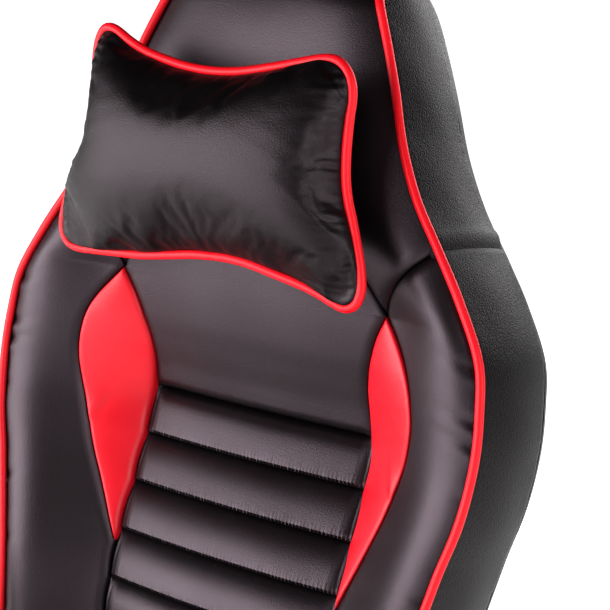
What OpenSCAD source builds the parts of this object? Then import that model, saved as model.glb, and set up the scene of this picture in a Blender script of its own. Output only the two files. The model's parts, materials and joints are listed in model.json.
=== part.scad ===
// Gaming chair with a reclining bucket backrest, a gas column and a five-arm caster base.
// The origin is on the floor under the swivel axis, the sitter faces -Y, and +Z is up.
// Left and right are the sitter's, so left is on the +X side.

/* [Base and casters] */
// Distance from the column axis to each caster stem
stem_reach = 320; // [300:1:335]
// Radius of a caster wheel
wheel_r = 30; // [29:0.5:31]
// Distance of a caster's axle behind its stem
caster_trail = 24; // [22:0.5:26]
// Radius of the base's hub
hub_r = 46; // [44:1:50]
// Height of the top of the hub
hub_top = 150; // [145:1:155]

/* [Gas column] */
// Outer radius of the column tube
column_r = 25; // [24:0.5:26]
// Height of the top of the column tube
column_top = 290; // [285:1:292]

/* [Seat] */
// Half the width of the seat over its bolsters
seat_half_w = 262; // [255:1:262]
// Depth of the seat in front of the swivel axis
seat_front = 290; // [270:5:300]
// Height of the top of the seat pad
seat_top = 468; // [455:1:475]
// Height of the seat bolsters above the pad
seat_bolster_rise = 34; // [20:1:40]
// Half the width of the flat seat pad
seat_pad_half_w = 122; // [115:1:130]

/* [Backrest] */
// Angle of the backrest from upright
back_recline = 13; // [8:1:18]
// Distance of the recline pivot behind the swivel axis
pivot_y = 235; // [232:1:240]
// Height of the recline pivot
pivot_z = 425; // [422:1:428]
// Height of the backrest's top above the pivot, along the backrest
back_top = 850; // [848:1:856]
// Half the width of the middle panel
panel_half_w = 122; // [115:1:126]
// How far the bolsters' rolls stand forward of the piped edge
bolster_roll = 12; // [6:1:14]

/* [Armrests] */
// Distance of an armrest's middle from the chair's middle plane
arm_x = 291; // [290:0.5:294]
// Height of the underside of the arm pad
arm_pad_z = 640; // [630:1:650]
// Length of the arm pad
arm_pad_l = 255; // [230:5:265]
// Width of the arm pad
arm_pad_w = 92; // [80:1:96]

/* [Hidden] */
$fn = 64;

arm_count = 5;
front_arm_angle = -90;
stem_r = 5.5;
stem_top = 96;
socket_bottom = 68;
hood_top = 66;
run_gap = 0.05;       // radial clearance of a shaft that turns or slides
soft_gap = 0.6;       // distance between neighbouring cushions
wheel_in = 9;         // inner and outer faces of a wheel, from the caster's middle plane
wheel_out = 26;
column_bottom = 60;
rod_r = 5;
cylinder_r = 14;
housing_bottom = 300;
housing_top = 354;
housing_half_w = 62;
tilt_y = -60;
tilt_z = 340;
tilt_pin_r = 6;
knob_y = -85;
lever_pivot_x = -45;
lever_z = 345.5;
valve_top = 344;
plate_z = 372;
plate_t = 4;
board_z = plate_z + plate_t;
board_t = 12;
foam_z = board_z + board_t;
seat_rear = 195;
tube_x = 200;
tube_r = 11;
layer_t = 13;         // half the thickness of the layer that holds the backrest's tubes
layer_gap = 0.8;      // between that layer and the foam in front of it
pin_r = 6;
arm_y = 52;
sleeve_top = 560;
red = [0.85, 0.07, 0.12];
black = [0.07, 0.07, 0.08];
grey = [0.3, 0.3, 0.32];

// ---------------------------------------------------------------- helpers

// A smooth curve through the rows [position, value] of a table
function segment(t, v, i = 0) = i >= len(t) - 2 || v < t[i + 1][0] ? i : segment(t, v, i + 1);
function slope(t, i) =
    i <= 0 ? (t[1][1] - t[0][1]) / (t[1][0] - t[0][0])
    : i >= len(t) - 1 ? (t[i][1] - t[i - 1][1]) / (t[i][0] - t[i - 1][0])
    : (t[i + 1][1] - t[i - 1][1]) / (t[i + 1][0] - t[i - 1][0]);
function hermite(a, b, ma, mb, u) =
    (2 * u ^ 3 - 3 * u ^ 2 + 1) * a + (u ^ 3 - 2 * u ^ 2 + u) * ma
    + (3 * u ^ 2 - 2 * u ^ 3) * b + (u ^ 3 - u ^ 2) * mb;
function smooth(t, v) =
    let (w = min(max(v, t[0][0]), t[len(t) - 1][0]), i = segment(t, w), step = t[i + 1][0] - t[i][0])
    hermite(t[i][1], t[i + 1][1], slope(t, i) * step, slope(t, i + 1) * step, (w - t[i][0]) / step);

// A closed skin over rings of points, each anticlockwise as seen from the last ring's end
module loft(rings) {
    n = len(rings[0]);
    m = len(rings);
    sides = [
        for (r = [0 : m - 2], k = [0 : n - 1])
            let (a = r * n + k, b = r * n + (k + 1) % n)
            each [[a, b + n, b], [a, a + n, b + n]]
    ];
    caps = [[for (k = [0 : n - 1]) k], [for (k = [n - 1 : -1 : 0]) (m - 1) * n + k]];
    polyhedron(points = [for (r = rings) each r], faces = concat(sides, caps), convexity = 6);
}

// Rings stacked along Z, where ring(v) is drawn in X and Y
function stack(levels, rings) =
    [for (k = [0 : len(levels) - 1]) [for (p = rings[k]) [p[0], p[1], levels[k]]]];

function unit(a) = a / norm(a);
function path_dir(p, i) = unit(p[min(i + 1, len(p) - 1)] - p[max(i - 1, 0)]);

// A round tube of radius r swept along the points p. side is any direction across the path
module swept_tube(p, r, sides, side) {
    loft([
        for (i = [0 : len(p) - 1])
            let (d = path_dir(p, i), a = unit(cross(d, side)), b = cross(d, a))
            [for (k = [0 : sides - 1]) p[i] + r * (cos(360 * k / sides) * a + sin(360 * k / sides) * b)]
    ]);
}

// A box with its four upright edges rounded
module rounded_box(size, r) {
    linear_extrude(size[2]) rounded_rect(size[0], size[1], r);
}

module rounded_rect(w, l, r) {
    for (a = [[w, l - 2 * r], [w - 2 * r, l]]) square(a, center = true);
    for (x = [-1, 1], y = [-1, 1]) translate([x * (w / 2 - r), y * (l / 2 - r)]) circle(r);
}

// Extrudes a drawing of Y and Z along X, from x0 to x1
module along_x(x0, x1) {
    translate([x0, 0, 0]) rotate([90, 0, 90]) linear_extrude(x1 - x0) children();
}

// The left side is drawn, and the right side is its mirror image
module mirrored(on) {
    if (on) mirror([1, 0, 0]) children();
    else children();
}

// Places the backrest, which is modelled upright with the pivot at its origin
module reclined() {
    translate([0, pivot_y, pivot_z]) rotate([-back_recline, 0, 0]) children();
}

module at_caster(i) {
    a = front_arm_angle + 360 * (i - 1) / arm_count;
    translate([stem_reach * cos(a), stem_reach * sin(a), 0]) children();
}

// ---------------------------------------------------------------- base

module star_base() color(black) difference() {
    union() {
        translate([0, 0, 72]) cylinder(h = hub_top - 72, r = hub_r);
        for (i = [0 : arm_count - 1]) rotate([0, 0, front_arm_angle + 360 * i / arm_count]) base_arm();
    }
    translate([0, 0, 71]) cylinder(h = hub_top, r = 30);
    for (i = [1 : arm_count]) at_caster(i)
        translate([0, 0, socket_bottom - 1]) cylinder(h = stem_top - 66, r = stem_r);
}

// An arm along +X: its plan crossed with its side view, which steps up from the stem to the hub
module base_arm() intersection() {
    linear_extrude(hub_top) {
        polygon([[hub_r - 12, 27], [hub_r - 12, -27], [stem_reach - 4, -17], [stem_reach - 4, 17]]);
        translate([stem_reach, 0]) circle(18);
    }
    translate([0, 50, 0]) rotate([90, 0, 0]) linear_extrude(100)
        polygon([
            [30, 78], [30, 142], [60, 140], [110, 131], [200, 117], [280, 106], [stem_reach + 20, 99],
            [stem_reach + 20, socket_bottom], [stem_reach - 20, socket_bottom],
            [280, 74], [150, 82],
        ]);
}

module hub_ring() color(grey) difference() {
    translate([0, 0, 72]) cylinder(h = hub_top - 72, r = 30);
    taper();
}

// The shallow cone where the column sits in the hub
module taper() translate([0, 0, 70]) cylinder(h = hub_top - 70, r1 = column_r - 1, r2 = column_r + 0.2);

module caster_stems() color("silver") for (i = [1 : arm_count]) at_caster(i) {
    translate([0, 0, 50]) cylinder(h = stem_top - 50, r = stem_r);
    translate([0, 0, socket_bottom - 1.5]) cylinder(h = 1.5, r = 9);
}

module column_tube() color(black) difference() {
    union() {
        taper();
        translate([0, 0, column_bottom]) cylinder(h = 10, r = column_r - 1);
        translate([0, 0, hub_top]) cylinder(h = column_top - hub_top, r = column_r);
    }
    translate([0, 0, column_bottom + 4]) cylinder(h = column_top, r = column_r - 2);
    translate([0, 0, column_bottom - 1]) cylinder(h = 10, r = rod_r + 1);
}

module column_bush() color("ivory") translate([0, 0, 200]) difference() {
    cylinder(h = column_top - 200, r = column_r - 2);
    translate([0, 0, -1]) cylinder(h = 100, r = cylinder_r + run_gap);
}

// The three telescopic covers, from outside to inside
module cover(z0, z1, r) color(black) difference() {
    translate([0, 0, z0]) cylinder(h = z1 - z0, r = r);
    translate([0, 0, z0 - 1]) cylinder(h = z1 - z0 + 2, r = r - 2);
}
module cover_lower() cover(hub_top, 225, 37);
module cover_middle() cover(hub_top + 4, 245, 34);
module cover_upper() cover(180, housing_bottom, 31);

module piston_rod() color("silver") {
    translate([0, 0, 57]) cylinder(h = 2.9, r = 8);
    translate([0, 0, 57]) cylinder(h = 238, r = rod_r);
    translate([0, 0, 293]) cylinder(h = 12, r = 12.5);
}

module thrust_bearing() color("silver") translate([0, 0, column_bottom + 4]) difference() {
    cylinder(h = 6, r = 15);
    translate([0, 0, -1]) cylinder(h = 8, r = rod_r);
}

module gas_cylinder() color("silver") difference() {
    translate([0, 0, 75]) cylinder(h = 260, r = cylinder_r);
    translate([0, 0, 87]) cylinder(h = 235, r = 12.55);
    translate([0, 0, 74]) cylinder(h = 20, r = rod_r + run_gap);
    translate([0, 0, 320]) cylinder(h = 20, r = 3 + run_gap);
}

// ---------------------------------------------------------------- casters

// The space in which the two wheels of a caster turn
module wheel_space(r) for (s = [-1, 1]) translate([s * (wheel_in + wheel_out) / 2, caster_trail, wheel_r])
    rotate([0, 90, 0]) cylinder(h = wheel_out - wheel_in + 2, r = r, center = true);

module caster_hood() {
    fender_r = wheel_r + 4;
    lowest = wheel_r - fender_r - 1;
    color(black) difference() {
        union() {
            translate([0, caster_trail, wheel_r]) rotate([0, 90, 0])
                cylinder(h = 53, r = fender_r, center = true);
            translate([0, 0, 36]) cylinder(h = hood_top - 36, r = 11);
        }
        wheel_space(wheel_r + 1);
        // the middle web stops under the axle, and the outer walls just above the middle of the wheels
        translate([-30, caster_trail - 50, lowest]) cube([60, 100, 24 - lowest]);
        for (s = [-1, 1]) translate([s * 31, caster_trail, 19]) cube([46, 100, 24], center = true);
        translate([0, 0, 49]) cylinder(h = 30, r = stem_r + run_gap);
        translate([0, caster_trail, wheel_r]) rotate([0, 90, 0]) cylinder(h = 60, r = 3.02, center = true);
    }
    color("silver") translate([0, caster_trail, wheel_r]) rotate([0, 90, 0])
        cylinder(h = 2 * wheel_out - 3, r = 3, center = true);
}

// Two round-edged wheels with a dished outer face and a blind bore for the axle
module caster_wheels() color(red) for (s = [0, 1]) mirrored(s == 1)
    translate([0, caster_trail, wheel_r]) rotate([0, 90, 0]) rotate_extrude() polygon([
        [3.05, wheel_in], [12, wheel_in], [14, wheel_in + 2], [22, wheel_in + 2], [24, wheel_in],
        [wheel_r - 3, wheel_in], [wheel_r - 0.8, wheel_in + 1.2], [wheel_r, wheel_in + 4],
        [wheel_r, wheel_out - 5], [wheel_r - 1.2, wheel_out - 2], [wheel_r - 4, wheel_out],
        [22, wheel_out], [20, wheel_out - 2.5], [9, wheel_out - 2.5], [7, wheel_out], [0, wheel_out],
        [0, wheel_out - 1], [3.05, wheel_out - 1],
    ]);

// ---------------------------------------------------------------- mechanism

module housing_side(wall) polygon([
    [-115 + wall, housing_bottom + wall], [75 - wall, housing_bottom + wall],
    [75 - wall, 324 - wall], [18 - wall / 2, housing_top - wall], [-115 + wall, housing_top - wall],
]);

module mechanism_housing() color(black) difference() {
    union() {
        difference() {
            along_x(-housing_half_w, housing_half_w) housing_side(0);
            along_x(4 - housing_half_w, housing_half_w - 4) housing_side(4);
        }
        translate([0, 0, housing_bottom]) cylinder(h = 34, r = 22);
    }
    translate([0, 0, housing_bottom - 1]) cylinder(h = 36, r = cylinder_r);
    translate([0, tilt_y, tilt_z]) rotate([0, 90, 0]) cylinder(h = 200, r = tilt_pin_r, center = true);
    translate([0, knob_y, housing_bottom - 1]) cylinder(h = 10, r = 5 + run_gap);
    translate([-housing_half_w - 1, -9, 336]) cube([8, 18, 14]);
}

module tilt_pin() color("silver") translate([0, tilt_y, tilt_z]) rotate([0, 90, 0])
    cylinder(h = 2 * housing_half_w + 20, r = tilt_pin_r, center = true);

// A coil of wire round the tension knob's screw
module tilt_spring() color("silver") {
    turns = 5;
    steps = 12;
    wire_r = 2.2;
    coil = [
        for (k = [0 : turns * steps])
            [13 * cos(360 * k / steps), knob_y + 13 * sin(360 * k / steps), 308 + 30 * k / (turns * steps)]
    ];
    swept_tube(coil, wire_r, 6, [0, 0, 1]);
}

module tension_knob() color(black) {
    translate([0, knob_y, 262]) difference() {
        cylinder(h = 34, r = 28);
        for (a = [0 : 30 : 359]) rotate([0, 0, a]) translate([31, 0, -1]) cylinder(h = 40, r = 5);
    }
    translate([0, knob_y, 262]) cylinder(h = 80, r = 5);
}

module height_lever() color(black) {
    // the flat end that presses the valve
    translate([lever_pivot_x - 5, -6, valve_top + 0.3]) cube([53, 12, 2.7]);
    translate([lever_pivot_x, 0, lever_z]) rotate([90, 0, 0]) cylinder(h = 14, r = 3.5, center = true);
    translate([lever_pivot_x, 0, lever_z - 0.5]) rotate([0, -96, 0]) cylinder(h = 165, r = 4.5);
    translate([-254, 0, lever_z - 18]) rotate([90, 0, 90]) linear_extrude(56) rounded_rect(26, 12, 5);
}

module valve_button() color("silver") {
    translate([0, 0, valve_top - 30]) cylinder(h = 28, r = 3);
    translate([0, 0, valve_top - 4]) cylinder(h = 4, r = 5);
}

// ---------------------------------------------------------------- seat

bolt_xy = [for (x = [-75, 75], y = [-105, 92]) [x, y]];

module mechanism_plate() color(black) difference() {
    union() {
        translate([0, -8, plate_z]) rounded_box([180, 235, plate_t], 12);
        for (s = [0, 1]) mirrored(s == 1) along_x(housing_half_w + 0.5, housing_half_w + 5)
            polygon([[-82, plate_z + 1], [-76, 330], [-44, 330], [-36, plate_z + 1]]);
    }
    translate([0, tilt_y, tilt_z]) rotate([0, 90, 0])
        cylinder(h = 200, r = tilt_pin_r + run_gap, center = true);
    for (p = bolt_xy) translate([p[0], p[1], 360]) cylinder(h = 30, r = 4.2);
}

module seat_board() color("burlywood") translate([0, 0, board_z]) difference() {
    translate([0, (185 - 250) / 2, 0]) rounded_box([430, 435, board_t], 30);
    for (p = bolt_xy) translate([p[0], p[1], -1]) cylinder(h = 30, r = 4.2);
}

module seat_bolts() color("silver") for (p = bolt_xy) translate([p[0], p[1], 0]) {
    translate([0, 0, plate_z - 5]) cylinder(h = 5, r = 7, $fn = 6);
    translate([0, 0, plate_z - 5]) cylinder(h = 5 + plate_t + board_t - 0.5, r = 4);
}

// The seat is modelled in slices from its rear edge to its front one. fall is how far the front curls down
function seat_fall(y) = y > -200 ? 0 : 46 * ((-200 - y) / (seat_front - 200)) ^ 2;
seat_levels = concat(
    [seat_rear, seat_rear - 8, 160, 120, 40, -40, -120],
    [for (k = [8 : -1 : 0]) -seat_front + 100 * (k / 8) ^ 1.5]
);
function seat_dip(y) = y > 150 ? 10 * ((y - 150) / (seat_rear - 150)) ^ 2 : 0;
function bolster_dip(y) = y > 125 ? 32 * ((y - 125) / (seat_rear - 125)) ^ 2 : 0;
seat_floor = foam_z + 0.3;
function seat_w(y) =
    seat_half_w - 24 * max(0, (-200 - y) / (seat_front - 200)) ^ 2 - 16 * max(0, (y - 40) / 155) ^ 2;
// outer edge of the red insert, which is a crescent between two tips
function seat_insert_x(y) = seat_pad_half_w + max(2, 44 * sin(180 * min(max((y + 215) / 330, 0), 1)));

function seat_rings(section) = [
    for (y = seat_levels)
        [for (p = section(y)) [p[0], y, p[1] - (p[1] > foam_z + 20 ? seat_fall(y) : 0)]]
];

function pad_section(y) = let (w = seat_pad_half_w, top = seat_top - seat_dip(y), z0 = seat_floor) [
    [-w, z0], [w, z0], [w, top - 8], [w * 0.75, top - 1], [w * 0.4, top + 1],
    [-w * 0.4, top + 1], [-w * 0.75, top - 1], [-w, top - 8],
];
function insert_section(y) = let (
    a = seat_pad_half_w + soft_gap, b = seat_insert_x(y), z0 = seat_floor, top = seat_top - 8 - seat_dip(y)
) [
    [a, z0], [b, z0], [b, top + (b - a) * 0.35], [(a + b) / 2, top + (b - a) * 0.14], [a, top],
];
function bolster_section(y) = let (
    a = seat_insert_x(y) + soft_gap, w = seat_w(y), z0 = seat_floor,
    lip = seat_top - 8 - seat_dip(y) + (a - seat_pad_half_w) * 0.35,
    top = seat_top + seat_bolster_rise - bolster_dip(y)
) [
    [a, z0], [228, z0], [228, board_z + 0.5], [w - 8, board_z + 0.5], [w, board_z + 16],
    [w, top - 26], [w - 6, top - 10], [w - 18, top - 1], [w - 34, top], [w - 52, top - 7],
    [w - 68, (top + lip) / 2], [a, lip],
];

module seat_pad() color(black) loft(seat_rings(function (y) pad_section(y)));
module seat_insert() loft(seat_rings(function (y) insert_section(y)));
module seat_inserts() color(red) for (s = [0, 1]) mirrored(s == 1) seat_insert();
module seat_bolster(right) color(black) mirrored(right) loft(seat_rings(function (y) bolster_section(y)));

// Red piping along the seat's outer top edge, clear of the cushions
seat_piping_path = [
    for (k = [0 : 22])
        let (y = seat_rear - 10 - (seat_rear - 10 + seat_front - 12) * k / 22)
        [seat_w(y) + 2.5, y, seat_top + seat_bolster_rise - 12 - seat_fall(y) - bolster_dip(y)]
];
module seat_piping() color(red) for (s = [0, 1]) mirrored(s == 1)
    swept_tube(seat_piping_path, 3.5, 8, [1, 0, 0]);

// ---------------------------------------------------------------- armrests

module arm_bracket(right) color(black) mirrored(right) difference() {
    union() {
        translate([96, arm_y - 32, plate_z - 1]) cube([180, 64, 5]);
        translate([270, arm_y - 32, plate_z - 1]) cube([6, 64, 100]);
        translate([arm_x, arm_y, 384]) rounded_box([30, 64, sleeve_top - 384], 6);
    }
    translate([arm_x, arm_y, 398]) rounded_box([24, 55, 200], 4);
}

module arm_post(right) color(grey) mirrored(right) difference() {
    union() {
        translate([arm_x, arm_y, 420]) rounded_box([23, 54, 190], 3.5);
        translate([arm_x, arm_y, 600]) rounded_box([44, 84, arm_pad_z - 600.5], 12);
        translate([arm_x, arm_y, 600]) cylinder(h = arm_pad_z - 588, r = 8);
    }
    translate([arm_x + 13, arm_y - 12.3, 605.7]) cube([20, 24.6, 16.6]);
}

module arm_button(right) color(red) mirrored(right)
    translate([arm_x + 17.2, arm_y - 12, 606]) cube([8.3, 24, 16]);

module arm_pad(right) color(black) mirrored(right) difference() {
    translate([arm_x, arm_y - 44, arm_pad_z]) union() {
        rounded_box([arm_pad_w - 26, arm_pad_l - 40, 8], 20);
        translate([0, 0, 7]) rounded_box([arm_pad_w - 6, arm_pad_l - 6, 4], 36);
        translate([0, 0, 10]) rounded_box([arm_pad_w, arm_pad_l, 14], 38);
        translate([0, 0, 23]) rounded_box([arm_pad_w - 7, arm_pad_l - 7, 4.5], 34);
    }
    translate([arm_x, arm_y, arm_pad_z - 1]) cylinder(h = 14, r = 8 + run_gap);
}

// ---------------------------------------------------------------- recliner

module recliner_bracket(right) color(black) mirrored(right) difference() {
    union() {
        translate([150, 105, plate_z - 1]) cube([74.5, 82, 5]);
        along_x(218.5, 224.5) polygon([
            [105, 376], [105, 356], [150, 348], [pivot_y + 25, 372], [pivot_y + 37, 400],
            [pivot_y + 37, 445], [pivot_y + 22, 463], [pivot_y - 20, 463], [199, 440], [199, 376],
        ]);
    }
    translate([200, pivot_y, pivot_z]) rotate([0, 90, 0]) cylinder(h = 40, r = pin_r);
}

module recliner_pins() color("silver") for (s = [0, 1]) mirrored(s == 1)
    translate([tube_x + tube_r + 0.6, pivot_y, pivot_z]) rotate([0, 90, 0]) {
        cylinder(h = 13.4, r = pin_r);
        translate([0, 0, 13]) cylinder(h = 3.4, r = 10);
    }

module cover_outline(grow) {
    translate([pivot_y, pivot_z]) circle(46 + grow);
    translate([pivot_y - 4, pivot_z - 32]) circle(34 + grow);
}

// A plastic shell over the outside of the bracket. The sitter's right one lets the lever's shaft out
module recliner_cover(right) color(black) mirrored(right) difference() {
    intersection() {
        along_x(224.7, 246) cover_outline(0);
        translate([200, 198.5, 300]) cube([100, 120, 220]);
    }
    intersection() {
        along_x(224, 243) cover_outline(-3);
        translate([200, 201.5, 300]) cube([100, 120, 220]);
    }
    if (right) translate([230, pivot_y, pivot_z]) rotate([0, 90, 0]) cylinder(h = 40, r = 7.3);
}

// The sitter's right hand pulls this lever up to free the backrest
module recline_lever() color(black) mirror([1, 0, 0]) {
    translate([229, pivot_y, pivot_z]) rotate([0, 90, 0]) cylinder(h = 38, r = 7);
    translate([247, pivot_y, pivot_z]) rotate([0, 90, 0]) cylinder(h = 30, r = 15);
    along_x(268, 276) {
        polygon([
            [pivot_y, pivot_z - 13], [pivot_y, pivot_z + 13], [pivot_y - 40, pivot_z + 20],
            [pivot_y - 110, pivot_z + 26], [pivot_y - 112, pivot_z + 8], [pivot_y - 40, pivot_z - 4],
        ]);
        translate([pivot_y - 111, pivot_z + 17]) circle(9);
    }
}

// ---------------------------------------------------------------- backrest, upright, pivot at the origin

// Half the width to the piped edge
edge_table = [
    [40, 217], [150, 217], [250, 221], [350, 239], [400, 251], [450, 256], [490, 254], [530, 247],
    [575, 223], [613, 198], [650, 173], [690, 154], [740, 137], [785, 119], [820, 102],
    [back_top - 10, 84], [back_top, 60],
];
// How far the sides flare out behind the piped edge
flare_table = [[40, 3], [150, 10], [560, 12], [650, 14], [back_top, 12]];
// Front surface along the middle, where the lumbar part stands forward
front_table = [
    [40, -58], [120, -70], [230, -80], [300, -72], [350, -60], [392, -51], [425, -47], [458, -55],
    [483, -66], [510, -79], [550, -94], [600, -108], [650, -115], [740, -119], [800, -119],
    [835, -108], [back_top, -88],
];
// Middle of the layer that holds the tubes, which bends forward into the head
layer_table = [[40, 0], [560, 0], [640, -9], [720, -21], [back_top, -26]];
// Front of the piped edge
rim_table = [[40, -62], [90, -90], [160, -112], [260, -122], [440, -118], [800, -118], [back_top, -86]];

function edge_w(v) = smooth(edge_table, v);
function front_y(v) = smooth(front_table, v);
function layer_y(v) = smooth(layer_table, v);
function rim_y(v) = smooth(rim_table, v);
function flare(v) = smooth(flare_table, v);
function peak_y(v) = rim_y(v) - bolster_roll * min(1, (v - 30) / 150);
// Half the width of the middle panel, which widens to the crescent's upper tip and closes in above it
function panel_w(v) = smooth([
    [40, panel_half_w], [480, panel_half_w], [510, panel_half_w + 8], [550, panel_half_w + 25],
    [585, panel_half_w + 6], [620, panel_half_w - 18],
], v);
// Outer edge of the red crescent between its two tips
insert_low = 288;
insert_high = 550;
insert_table = [
    [insert_low, panel_half_w + 3], [315, 136], [347, 150], [374, 161], [399, 170], [436, 177],
    [470, 178], [502, 174], [530, 163], [insert_high, panel_half_w + 26],
];
function insert_w(v) = max(panel_w(v) + 2, smooth(insert_table, v));
function inner_w(v) = (v > insert_low && v < insert_high ? insert_w(v) : panel_w(v)) + soft_gap;
function lip_y(v) = front_y(v) - 0.62 * (inner_w(v) - panel_w(v));

pad_levels = concat([52, 60], [for (v = [80 : 20 : 600]) v], [618]);
insert_levels = concat([insert_low + 3], [for (v = [300 : 20 : 540]) v], [insert_high - 3]);
bolster_levels = pad_levels;
head_levels = concat(
    [620], [for (v = [635 : 15 : 815]) v], [back_top - 22, back_top - 12, back_top - 4, back_top]
);
cover_levels = concat([50], [for (v = [80 : 40 : 800]) v], [820, back_top - 15, back_top - 5, back_top]);

function back_y(v) = layer_y(v) - layer_t;
function end_tuck(v) = v < 70 ? 10 * (1 - (v - 52) / 18) : 0;

function back_pad_ring(v) = let (w = panel_w(v), f = front_y(v) + end_tuck(v), b = back_y(v) - layer_gap) [
    [-w, b], [w, b], [w, f], [w * 0.7, f - 4], [w * 0.35, f - 6], [0, f - 6.5],
    [-w * 0.35, f - 6], [-w * 0.7, f - 4], [-w, f],
];
function back_insert_ring(v) = let (
    a = panel_w(v) + soft_gap, w = insert_w(v), f = front_y(v), b = back_y(v) - layer_gap
) [
    [a, b], [w, b], [w, lip_y(v)], [(a + w) / 2, (f + lip_y(v)) / 2 - 3], [a, f],
];
function back_bolster_ring(v) = let (
    a = inner_w(v), w = edge_w(v), b = back_y(v) - layer_gap, rim = rim_y(v) + end_tuck(v),
    peak = peak_y(v) + end_tuck(v), lip = min(lip_y(v), b - 12) + end_tuck(v), mid = (a + w) / 2
) [
    [a, b], [w + flare(v), b], [w + 0.8 * flare(v), (b + rim) / 2], [w, rim + 6], [w - 6, rim - 4],
    [w - 20, peak], [w - 36, peak + 1], [mid, (peak + lip) / 2 - 8], [a, lip],
];
function head_ring(v) = let (w = edge_w(v), f = front_y(v), rim = rim_y(v), b = back_y(v) - layer_gap) [
    [-w - flare(v), b], [w + flare(v), b], [w + 0.8 * flare(v), (b + rim) / 2], [w, rim + 6],
    [w - 6, rim - 4], [w * 0.8, (f + rim) / 2 - 4], [w * 0.4, f - 1], [-w * 0.4, f - 1],
    [-w * 0.8, (f + rim) / 2 - 4], [6 - w, rim - 4], [-w, rim + 6], [-w - 0.8 * flare(v), (b + rim) / 2],
];
function rear_depth(v) = 50 - 14 * max(0, (v - 780) / 70) ^ 2;
function cover_ring(v) = let (w = edge_w(v) + flare(v), b = back_y(v)) [
    for (k = [0 : 20]) let (x = cos(180 * k / 20)) [w * x, b + rear_depth(v) * max(0, 1 - x ^ 4) ^ 0.5]
];
pocket_levels = concat([49], [for (v = [80 : 40 : 800]) v], [822]);
function pocket_ring(v) = let (w = min(edge_w(v) + flare(v) - 6, 214), b = back_y(v)) [
    [-w, b - 1], [w, b - 1], [w, b + 2 * layer_t - 3], [w - 8, b + 2 * layer_t], [8 - w, b + 2 * layer_t],
    [-w, b + 2 * layer_t - 3],
];

module back_pad() color(black) reclined() loft(stack(pad_levels, [for (v = pad_levels) back_pad_ring(v)]));
module back_inserts() color(red) reclined() for (s = [0, 1]) mirrored(s == 1)
    loft(stack(insert_levels, [for (v = insert_levels) back_insert_ring(v)]));
module back_bolster(right) color(black) reclined() mirrored(right)
    loft(stack(bolster_levels, [for (v = bolster_levels) back_bolster_ring(v)]));
module head_pad() color(black) reclined() loft(stack(head_levels, [for (v = head_levels) head_ring(v)]));
module back_cover() color(black) reclined() difference() {
    loft(stack(cover_levels, [for (v = cover_levels) cover_ring(v)]));
    loft(stack(pocket_levels, [for (v = pocket_levels) pocket_ring(v)]));
}

// One cord of piping round the front edge, up one side, over the head and down the other
rim_levels = concat([for (v = [60 : 20 : 780]) v], [796, 812, back_top - 24, back_top - 12, back_top - 3]);
function rim_lift(v) = max(0, v - 800) * 0.09;
function rim_point(v, side) = [side * (edge_w(v) + 1.8 + rim_lift(v)), rim_y(v) - 2.6, v + rim_lift(v)];
rim_path = concat(
    [for (v = rim_levels) rim_point(v, 1)],
    [for (x = [58, 40, 20, 0, -20, -40, -58]) [x, rim_y(back_top) - 3, back_top + 5]],
    [for (k = [len(rim_levels) - 1 : -1 : 0]) rim_point(rim_levels[k], -1)]
);
module back_piping() color(red) reclined() swept_tube(rim_path, 4, 8, [0, 1, 0]);

// The welded tube loop: two uprights that close in at the shoulders and meet over the head
function frame_x(v) = smooth([[0, tube_x], [470, tube_x], [560, 176], [640, 128], [700, 98], [770, 80]], v);
frame_levels = [-24, 60, 160, 260, 360, 440, 490, 530, 565, 600, 635, 670, 705, 740, 770];
frame_path = concat(
    [for (v = frame_levels) [frame_x(v), layer_y(v), v]],
    [for (a = [22.5 : 22.5 : 157.5]) [80 * cos(a), layer_y(790), 770 + 34 * sin(a)]],
    [for (k = [len(frame_levels) - 1 : -1 : 0]) let (v = frame_levels[k]) [-frame_x(v), layer_y(v), v]]
);
module back_frame() color(grey) reclined() {
    swept_tube(frame_path, tube_r, 12, [0, 1, 0]);
    for (v = [110, 330, 600]) let (x = frame_x(v) - 3, y = layer_y(v))
        swept_tube([[-x, y, v], [x, y, v]], 8, 12, [0, 1, 0]);
}

// Elastic straps between the uprights carry the foam
strap_w = 32;
module back_webbing() color(grey) reclined() for (v = [160, 215, 270, 385, 440, 495])
    translate([0, 0, v]) cube([2 * (frame_x(v + strap_w / 2) - tube_r) - 2, 2.5, strap_w], center = true);

module recliner_arms() color(grey) reclined() for (s = [0, 1]) mirrored(s == 1) difference() {
    union() {
        along_x(tube_x + tube_r, tube_x + tube_r + 6) {
            circle(30);
            polygon([[-29, 0], [29, 0], [16, 46], [-16, 46]]);
        }
        along_x(tube_x + tube_r + 5.9, tube_x + tube_r + 7.2) circle(24);
    }
    translate([200, 0, 0]) rotate([0, 90, 0]) cylinder(h = 40, r = pin_r + run_gap);
}

// ---------------------------------------------------------------- head pillow

pillow_v = 655;
pillow_half_w = 140;
pillow_mid_y = -174;
pillow_lean = 0.15;    // how far its top leans forward, for each unit of height
pillow_taper = 0.1;    // its top is narrower than its middle by this share, and its bottom wider
pillow_roll = 3;       // it sits slightly askew
function pillow_h(u) = 78 + 18 * min(1, abs(u) / 0.86) ^ 1.6 - 26 * max(0, (abs(u) - 0.9) / 0.1) ^ 2;
function pillow_t(u) = 4 + 46 * (1 - abs(u) ^ 3.2) ^ 0.6;
pillow_slices = [for (k = [0 : 24]) -cos(180 * k / 24)];
function pillow_point(u, a) = let (s = sign(sin(a)) * abs(sin(a)) ^ 0.8, h = pillow_h(u) * s) [
    pillow_half_w * u * (1 - pillow_taper * s), pillow_t(u) * cos(a) - pillow_lean * h, h,
];
module head_pillow() color(black) reclined()
    translate([0, pillow_mid_y, pillow_v]) rotate([0, pillow_roll, 0]) loft([for (u = pillow_slices) [for (k = [0 : 19]) pillow_point(u, 360 * k / 20)]]);

// ---------------------------------------------------------------- the assembly

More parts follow.
